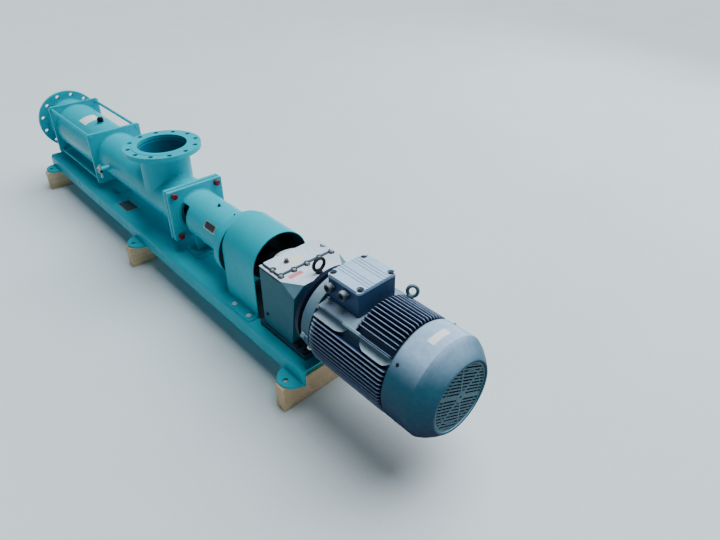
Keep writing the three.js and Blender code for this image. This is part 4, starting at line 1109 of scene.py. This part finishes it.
class PUMP_OT_reducer(bpy.types.Operator):
    """Reducer case with its facets, foot, scalloped cover on a dark gasket skirt that also paints the shade along its
    edge, vent, ring eye and motor adapter
    """
    bl_idname = "pump.reducer"
    bl_label = "Reducer"

    def execute(self, context):
        start, end, low, half = 1122, 1362, -188, 154
        side = [(start, low), (1324, low), (end, 80), (end, CASE_TOP), (start, CASE_TOP)]
        case = cut(Shape().prism(side, -half, half, "Y"), corner_tool(-1), corner_tool(1))
        join(case, Shape().disc(98, -60, 101, "Z", 1169, 0, 96), Shape().disc(85, 1090, 1123, n=64))
        cut(case, Shape().disc(36, 1060, 1186, n=48),
            Shape().prism(joint_outline(1100, 170, 152), 108.5, 115.5, "Z"))
        piece("reducer_case_body", case, "slate_case", (1.3, 3, 20), "reducer_case")
        joint = Shape().prism(joint_outline(1122.8, 153.2, 151.5), 108.6, 115.4, "Z")
        piece("reducer_joint", joint, "gasket_and_shade")
        foot_top, seam_top = -185, 122.6
        foot = Shape().prism(rounded(1092, 1420, -163, 163, 10), BASE_TOP, foot_top, "Z")
        piece("reducer_foot", foot, "slate_foot", (2.5, 3))
        places = [((x, y, foot_top), UP, 0.2) for x in (1350, 1398) for y in (-143, 143)]
        screws("reducer_foot_bolts", places, "iron", hex_bolt(19, 11, 13))
        # The cover takes a light copy of the drive paint: painted sky reflection on its top
        cover = cut(Shape().prism(rounded(1128, 1244, -137, 137, 5), CASE_TOP, COVER_TOP, "Z"),
                    *(Shape().disc(15, 118, 134, "Z", x, y, 48) for x, y in COVER_SCREWS))
        piece("reducer_cover_plate", cover, "slate_cover_painted_light", (1.8, 3), "reducer_cover")
        # Black skirt round the cover and its screws: a sealant line, and painted shade along the cover's edge
        skirt = join(Shape().prism(rounded(1123, 1250, -143.5, 143.5, 9), CASE_TOP, seam_top, "Z"),
                     *(Shape().disc(14, 121.4, seam_top, "Z", x, y, 40) for x, y in COVER_SCREWS))
        piece("reducer_cover_joint", skirt, "gasket_and_shade")
        places = [((x, y, CASE_TOP), UP, 0.3 * k) for k, (x, y) in enumerate(COVER_SCREWS)]
        places += [((1110, 25, 101), UP, 0.2), ((1098, -39, 101), UP, 0.7)]
        screws("reducer_cover_bolts", places, "zinc_dull", hex_bolt(14, 8, 8.5))
        vent_x, vent_y, nut_top = 1193, -62, 138.5
        vent = Shape().prism(circle(12, 6, vent_x, vent_y), COVER_TOP, nut_top, "Z")
        vent.lathe([(nut_top, 0), (nut_top, 8), (140, 8.6), (141.5, 7.4), (143, 8.8), (147, 8.8), (148.5, 7),
                    (148.5, 0)], 32, "Z", vent_x, vent_y)
        piece("reducer_vent_plug", vent, "brass", (0.6, 2), "reducer_vent")
        place = Matrix.Translation((1334, 0, CASE_TOP)) @ Matrix.Rotation(math.pi / 2, 4, "Z")
        ring_eye("reducer_ring_eye", 35, 20.5, 14, 6, place, "iron", "reducer_eye")
        for name, edges, z, finish in (("reducer_label_pale", (1178, 1222, -48, 14), COVER_TOP, "label_amber"),
                                       ("reducer_label_pink", (1268, 1290, -114, -46), CASE_TOP, "label_pink"),
                                       ("reducer_label_white", (1298, 1306, -104, -49), CASE_TOP, "label_white")):
            piece(name, Shape().prism(rounded(*edges, 3), z, z + 0.5, "Z"), finish)
        plug = Shape().lathe([(-153, 0), (-153, 8), (-157.5, 8), (-157.5, 4.5), (-155, 4), (-155, 0)], 24, "Y",
                             1152, -120)
        piece("reducer_side_screw", plug, "iron", (0.4, 1))
        # The adapter takes the near-black copy of the drive paint: painted shade in the recess between reducer and
        # motor
        bell = about_motor([(1300, 0), (1300, 128), (1366, 128), (1372, 131), (1388, 146), (1400, 150), (1400, 185),
                            (ADAPTER_END, 185), (ADAPTER_END, 0)], 144)
        lean = [(1200, -300), (1308.4, -300), (1362.4, 80), (1362.4, 300), (1200, 300)]
        bell = cut(bell, Shape().prism(lean, -240, 240, "Y"), Shape().box(1300, 1440, -200, 200, -230, -184.7))
        piece("reducer_adapter", bell, "slate_bell_shaded", (1.6, 3, 24), "reducer_flange")
        return {"FINISHED"}


# Motor

class PUMP_OT_motor(bpy.types.Operator):
    """Motor flange and front shield, the adapter's bolts, and the core inside the fins with its seat"""
    bl_idname = "pump.motor"
    bl_label = "Motor"

    def execute(self, context):
        z = MOTOR_Z
        front = about_motor([(ADAPTER_END, 0), (ADAPTER_END, 148), (1440, 148), (1440, 185), (1443, 187.5),
                             (1448, 189.5), (1474, 192.5), (SHIELD_END, 196), (SHIELD_END, 0)], 144)
        lugs = [Shape().prism(rounded(1476, SHIELD_END, -15, 15, 6), 160, 200, "Z").turn(round_motor(degrees))
                for degrees in (183, 357)]
        piece("motor_front_shield", join(front, *lugs), "slate_light", (2.0, 3, 24), "motor_flange")
        places = around(1440, 168, [11.5 + 22.5 * i for i in range(16)], z, 0.0, TO_DISCHARGE, 0.3)
        screws("adapter_bolts", places, "zinc_dull", hex_bolt(13, 7, 0, 12))
        core = cut(about_motor([(SHIELD_END, 0), (SHIELD_END, 176), (1903, 176), (1905, 199), (1925, 198.5),
                                (1925, 45), (1935, 44), (1935, 0)], 144),
                   Shape().box(1495, 1697, -125, 125, 148 + z, 260))
        seat = [(120, 90), (143, 132), (144.5, 136), (142, 140), (118, 145), (98, 148)]
        seat += [(-y, h) for y, h in seat[::-1]]
        notch = ((98, 145), (150, 136), (150, 160), (98, 160))
        join(core, Shape().prism([(y, h + z) for y, h in seat], 1503, 1709))
        cut(core, *(Shape().prism([(side * y, h + z) for y, h in notch], 1498, 1522) for side in (-1, 1)))
        piece("motor_core", core, "slate_rough", (2.2, 3, 24), "motor_frame")
        return {"FINISHED"}


def fin_piece(x0, x1, tip, root=174.0):
    """Cooling fin with rounded ends, thicker at the root; its height points along +Y"""
    nose, rise, root_half, taper = 20, tip - root - 2, 3.6, 1.9
    side = [(x0, root)]
    for end, sign, steps in ((x0, 1, range(7)), (x1, -1, range(6, -1, -1))):
        for a in (math.pi / 2 * (i / 6) for i in steps):
            side.append((end + sign * nose * (1 - math.cos(a)), root + 2 + rise * math.sin(a)))
    side.append((x1, root))
    shape = Shape().loops([[(x, r, sign * (root_half - taper * (r - root) / (tip - root))) for x, r in side]
                           for sign in (-1, 1)])
    return soften(shape.make(), 0.8, 1, 50)


PAD_SHORT = ((1503, 17), (1503, -12), (1506, -15), (1512, -17), (1560, -18), (1600, -18), (1624, -16.5), (1640, -14),
             (1652, -9.5), (1660, -4), (1667, 4), (1671, 12), (1672, 17))
PAD_LONG = ((1741, 17), (1741, 6), (1744, 0), (1750, -6), (1758, -10), (1768, -13.5), (1784, -16.5), (1805, -18.2),
            (1830, -19), (1852, -19), (1868, -17.4), (1880, -14), (1890, -7), (1897, 1), (1901, 9), (1903, 17))


class PUMP_OT_fins(bpy.types.Operator):
    """Fins of the motor frame, and the pads, rails and fingers between them"""
    bl_idname = "pump.fins"
    bl_label = "Motor fins"

    def execute(self, context):
        s = context.scene.pump_motor
        low, top = round(s.fin_count * 2 / 3), round(s.fin_count * 2 / 9)
        for name, start, amount, first in (("motor_fins_low", 1502, low, 152.5), ("motor_fins_top", 1700, top, 52.5)):
            fin = fin_piece(start, FIN_END, mm(s.fin_radius))
            fins = grow(name, pieces_in_ring, {"Piece": fin, "Count": amount, "First": math.radians(first),
                                               "Step": math.radians(360.0 / s.fin_count), "Height": MOTOR_Z},
                        "slate_fin")
            bpy.data.objects.remove(fin)
            settle(fins, "slate_fin")
        thin = [(1502, 168), (1502, 188), (1512, 197), (1526, 201), (1646, 201), (1646, 168)]
        wide = [(1640, 168), (1640, 197), (1896, 197), (1896, 168)]
        lip = [(1735, 168), (1735, 200), (1745, 203.4), (1888, 203.4), (1894, 196), (1894, 168)]
        tab = [(1642, 190), (1644, 199), (1652, 203), (1722, 203), (1738, 201), (1741, 192)]
        for side, label in SIDES:
            self.pad(f"motor_pad_short_{label}", PAD_SHORT, side)
            self.pad(f"motor_pad_long_{label}", PAD_LONG, side)
            edge, rail = round_motor(90 - side * 46.5), Shape()
            for outline, y0, y1 in ((thin, -1.6, 1.6), (wide, -3.2, 3.2), (lip, -3.8, -1.6), (lip, 1.6, 3.8)):
                rail.prism(outline, y0, y1, "Y")
            piece(f"motor_rail_{label}", rail.turn(edge), "slate_fin", (0.7, 2))
            # The finger takes a light copy of the drive paint: painted highlight
            finger = Shape().prism(tab, -6, 6, "Y").turn(edge)
            piece(f"motor_finger_{label}", finger, "slate_finger_highlight", (3.0, 3))
        return {"FINISHED"}

    def pad(self, name, outline, side):
        """Pad between the fins: straight above, curved below, scooped out to a level ledge"""
        start, end, skin_r, scoop_r = 1490, 1910, 203, 25
        block = Shape().prism([(x, -side * u) for x, u in outline], 168, 215, "Z")
        block.turn(round_motor(90 - side * 53.5))
        pad = boolean(block, "INTERSECT", [Shape().disc(skin_r, start, end, "X", 0, MOTOR_Z, 180)])
        cut(pad, Shape().disc(scoop_r, start, end, "X", side * 166, 132 + MOTOR_Z, 96))
        piece(name, pad, "slate_pad", (1.2, 2, 28))


class PUMP_OT_motor_fittings(bpy.types.Operator):
    """Bolts of the motor's front shield, and its ring eye on a boss"""
    bl_idname = "pump.motor_fittings"
    bl_label = "Motor bolts and eye"

    def execute(self, context):
        shield = around(1478, 188, (183, 357), MOTOR_Z, 0.5, TO_DISCHARGE)
        screws("shield_bolts", shield, "slate_bolt", hex_bolt(30, 19, 17, 20))
        low = around(1468, 190, (208.5, 331.5), MOTOR_Z, 0.5, TO_DISCHARGE)
        screws("shield_low_bolts", low, "zinc_bright", hex_bolt(17, 9, 10, 20))
        screws("shield_top_bolts", around(1506, 196, (138, 42), MOTOR_Z, 0.2), "zinc_dull", hex_bolt(13, 6, 8, 14))
        x, leaning = 1744, round_motor(58)
        place = leaning @ Matrix.Translation((x, 0, 205.3)) @ Matrix.Rotation(math.radians(35), 4, "Z")
        ring_eye("motor_ring_eye", 27, 13, 16, 0, place, "slate_eye", "motor_eye")
        boss = Shape().disc(19.5, 150, 205, "Z", x, 0, 40).turn(leaning)
        piece("motor_eye_boss", boss, "slate_rough", (1.5, 2))
        return {"FINISHED"}


class PUMP_OT_terminals(bpy.types.Operator):
    """Terminal box with its grooved lid, lid screws and two cable glands"""
    bl_idname = "pump.terminals"
    bl_label = "Terminal box"

    def execute(self, context):
        start, end, half, lid_top = 1508, 1682, 96, 260
        box = Shape().loops([[(x, y, z) for x, y in rounded(start + d, end - d, d - half, half - d, 8)]
                             for d, z in ((1.5, 140), (0, 160), (0, 244))])
        piece("terminal_box_body", box, "slate", (2.0, 3, 24), "terminal_box")
        raised = Shape().prism(rounded(start - 1.5, end + 1.5, -half - 1.5, half + 1.5, 4), LID_Z - 1, lid_top, "Z")
        corners = [(x, y) for x in (1520, 1670) for y in (-78, 78)]
        for x, y in corners:
            x0, x1 = (1500, x) if x < 1600 else (x, 1690)
            y0, y1 = (-104, y) if y < 0 else (y, 104)
            raised = cut(raised, Shape().disc(15, 250, 264, "Z", x, y, 48), Shape().box(x0, x1, y0, y1, 250, 264))
        # The lid takes a light copy of the drive paint: painted sky light on its top
        lid = join(Shape().prism(rounded(start - 2, end + 2, -half - 2, half + 2, 14, 8), 244.6, LID_Z, "Z"), raised)
        lines, first, spacing, floor = Shape(), 22, 15.5, lid_top - 1.8
        for i in range(context.scene.pump_motor.lid_ribs):
            for side in (-1, 1):
                y = side * (first + spacing * i)
                lines.prism([(y - 5.2, lid_top + 2), (y - 3.4, floor), (y + 3.4, floor), (y + 5.2, lid_top + 2)],
                            start - 8, end + 8)
        piece("terminal_lid_plate", cut(lid, lines), "slate_lid_painted_light", (1.3, 3), "terminal_lid")
        # Dark rings round the lid screws: painted shade, shaped as seal rings
        shade_rings = Shape()
        for x, y in corners:
            shade_rings.lathe([(LID_Z, 5), (LID_Z, 12.5), (LID_Z + 0.6, 12.5), (LID_Z + 0.6, 5)], 32, "Z", x, y)
        piece("terminal_lid_seals", shade_rings, "gasket_and_shade")
        slotted = cut(Shape().lathe([(0, 0), (0, 6), (3.5, 6), (4.5, 5), (4.5, 0)], 24, "Z"),
                      Shape().box(-5, 5, -0.8, 0.8, 3, 6))
        screws("terminal_lid_screws", [((x, y, LID_Z), UP, 0.7) for x, y in corners], "iron", soften(slotted, 0.3, 1))
        for k, (x, z) in enumerate(((1532, 207), (1612, 214))):
            nut = Shape().lathe([(-104, 0), (-104, 21.8), (-113, 21.6), (-118, 20), (-121, 17.6), (-122, 14.2),
                                 (-110, 13.5), (-110, 0)], 48, "Y", x, z)
            gland = join(Shape().prism(circle(22, 6, x, z, 0.5), -105, -96, "Y"), nut)
            piece(f"cable_gland_body_{k + 1}", gland, "slate_gland", (1.2, 2), f"cable_gland_{k + 1}")
            seal = Shape().lathe([(-109.9, 0), (-109.9, 13.4), (-117, 13.4), (-118, 12), (-118, 8), (-112, 7.5),
                                  (-112, 0)], 32, "Y", x, z)
            piece(f"cable_seal_{k + 1}", seal, "rubber", (0.5, 1))
        return {"FINISHED"}


class PUMP_OT_fan(bpy.types.Operator):
    """Fan cover with its rim screws and blank label, grille of slots with a hub, and a dark disc behind the fan as
    painted shadow
    """
    bl_idname = "pump.fan"
    bl_label = "Fan cover"

    def execute(self, context):
        cover = about_motor([(1911, 199), (1911, 203), (2030, 203), (2033, 201.6), (2054, 190), (2078, 171),
                             (2097, 151.5), (2101, 146.5), (2101, 143), (2099, 138), (2094, 137), (2092, 141),
                             (2074, 167), (2050, 186), (2030, 199)], 160)
        piece("fan_cover_sheet", cover, "slate_fan", (0.8, 2, 16), "fan_cover")
        head = round_head([(-1, 0), (-1, 7), (0.8, 7), (0.8, 5), (3, 4.5), (3.6, 3.5), (3.6, 0)], 20, 0.3, 1)
        screws("fan_cover_screws", around(1933, 203, (138, 42, 222, 318), MOTOR_Z, 0.3), "iron", head)
        curved_plate("fan_cover_label", 1966, 1996, 77, 103, 203.1, 0.5, "label_white", MOTOR_Z)
        x, rows = GRILLE_X, context.scene.pump_motor.grille_rows
        ring = about_motor([(x, 130), (x, 142), (x - 4, 142), (x - 4, 130)], 128)
        piece("fan_grille_ring", ring, "slate_grille", (0.6, 1), "fan_grille")
        pitch, place = 260.0 / rows, round_motor(60)
        bars = grow("fan_grille_bars", bars_in_circle, {
            "Count": rows, "Start": (x - 2.2, 0.0, (1 - rows) * pitch / 2), "Step": (0.0, 0.0, pitch),
            "Bar": (3.0, 1.0, pitch * 0.43), "Round": 132.0}, "slate_grille")
        bars.data.transform(place)
        settle(bars, "slate_grille")
        spokes, reach = Shape(), 134.0
        bar = [(x - 3.6, -reach), (x - 0.3, -reach), (x - 0.3, reach), (x - 3.6, reach)]
        for k, half in enumerate((9.0, 5.0, 4.0)):
            turned = place @ Matrix.Rotation(math.radians(60 * k), 4, "X")
            spokes.loops([[turned @ Vector((a, along, side)) for a, along in bar] for side in (-half, half)])
        piece("fan_grille_spokes", spokes, "slate_grille", (0.4, 1))
        hub = about_motor([(x - 3.6, 103), (x - 3.6, 107), (x - 0.4, 107), (x - 0.4, 103)], 96)
        hub.lathe([(x - 4, 5.5), (x - 4, 25), (x + 0.2, 25), (x + 0.2, 5.5)], 40, "X", 0, MOTOR_Z)
        piece("fan_grille_hub", hub, "slate_grille", (0.5, 1))
        # Painted shadow: a near-black disc behind the fan darkens what shows through the grille
        disc = about_motor([(1930, 45.3), (1930, 196), (1932, 196), (1932, 45.3)], 96)
        piece("fan_shadow_disc", disc, "dark_painted_shade")
        return {"FINISHED"}


# Drive line inside the machine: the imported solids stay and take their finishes

INSIDE = {
    "drive_shaft": "steel", "coupling_pump_half": "iron", "coupling_drive_half": "iron", "connecting_rod": "steel",
    "rotor": "steel", "stator_liner": "rubber", "motor_fan": "black_plastic",
}


class PUMP_OT_drive_line(bpy.types.Operator):
    """Finishes for the shaft, coupling, rod, screw, rubber lining and fan"""
    bl_idname = "pump.drive_line"
    bl_label = "Drive line"

    def execute(self, context):
        for node, finish in INSIDE.items():
            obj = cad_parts[node]
            if not obj.material_slots:
                obj.data.materials.append(PAINTS[finish])
            for place in obj.material_slots:
                place.material = PAINTS[finish]
        return {"FINISHED"}


# Stage

def lamp(name, kind, way, place=(0, 0, 0), **settings):
    """Light that shines along way from its place"""
    light = bpy.data.lights.new(name, kind)
    for key, value in settings.items():
        setattr(light, key, value)
    obj = new_object(name, light)
    obj.location = place
    obj.rotation_euler = Vector(way).to_track_quat("-Z", "Y").to_euler()


class PUMP_OT_stage(bpy.types.Operator):
    """Pale floor, soft light from above and the camera"""
    bl_idname = "pump.stage"
    bl_label = "Stage"

    def execute(self, context):
        scene, half = context.scene, 30000
        floor = Shape().box(-half, half, -half, half, -60, 0).make("floor")
        floor.data.transform(Matrix.Scale(0.001, 4))
        floor.data.materials.append(PAINTS["floor"])
        lamp("sky_light", "SUN", (-0.06, -0.4, -1.0), energy=4.7, angle=math.radians(56), color=(0.88, 0.97, 1.0))
        lamp("back_panel", "AREA", (-1.2, -5.5, -3.0), (1.5, 5.5, 3.4), shape="RECTANGLE", size=7.0, size_y=3.0,
             energy=170.0, color=(0.95, 0.98, 1.0))
        world = bpy.data.worlds.new("studio")
        scene.world = world
        world.use_nodes = True
        background = world.node_tree.nodes["Background"].inputs
        background["Color"].default_value = (0.6, 0.78, 0.95, 1.0)
        background["Strength"].default_value = 0.14
        camera = bpy.data.cameras.new("camera")
        camera.lens, camera.sensor_width, camera.clip_end = CAMERA_LENS, CAMERA_SENSOR, 100.0
        camera.shift_x, camera.shift_y = CAMERA_SHIFT
        scene.camera = new_object("camera", camera)
        scene.camera.matrix_world = CAMERA
        return {"FINISHED"}


STEPS = (PUMP_OT_finishes, PUMP_OT_stage, PUMP_OT_base, PUMP_OT_bearers, PUMP_OT_discharge, PUMP_OT_stator,
         PUMP_OT_casing, PUMP_OT_drain, PUMP_OT_housing, PUMP_OT_guard, PUMP_OT_reducer, PUMP_OT_motor, PUMP_OT_fins,
         PUMP_OT_motor_fittings, PUMP_OT_terminals, PUMP_OT_fan, PUMP_OT_drive_line)
GROUPS = (("pump_colours", PUMP_PG_colours), ("pump_base", PUMP_PG_base), ("pump_pipework", PUMP_PG_pipework),
          ("pump_drive", PUMP_PG_drive), ("pump_motor", PUMP_PG_motor))


class PUMP_PT_panel(bpy.types.Panel):
    """Steps and sizes of the pump"""
    bl_idname = "PUMP_PT_panel"
    bl_label = "Single screw pump"
    bl_space_type = "VIEW_3D"
    bl_region_type = "UI"
    bl_category = "Pump"

    def draw(self, context):
        for step in STEPS:
            self.layout.operator(step.bl_idname)
        for name, group in GROUPS:
            box = self.layout.box()
            for prop in group.__annotations__:
                box.prop(getattr(context.scene, name), prop)


CLASSES = (*(group for _, group in GROUPS), *STEPS, PUMP_PT_panel)


def register():
    for cls in CLASSES:
        bpy.utils.register_class(cls)
    for name, group in GROUPS:
        setattr(bpy.types.Scene, name, PointerProperty(type=group))


def unregister():
    for name, _ in GROUPS:
        delattr(bpy.types.Scene, name)
    for cls in reversed(CLASSES):
        bpy.utils.unregister_class(cls)


def corners(box):
    return [[float(v) for v in corner] for corner in box]


def main():
    register()
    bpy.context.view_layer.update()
    for step in STEPS:
        group, name = step.bl_idname.split(".")
        getattr(getattr(bpy.ops, group), name)()


if __name__ == "__main__":
    main()
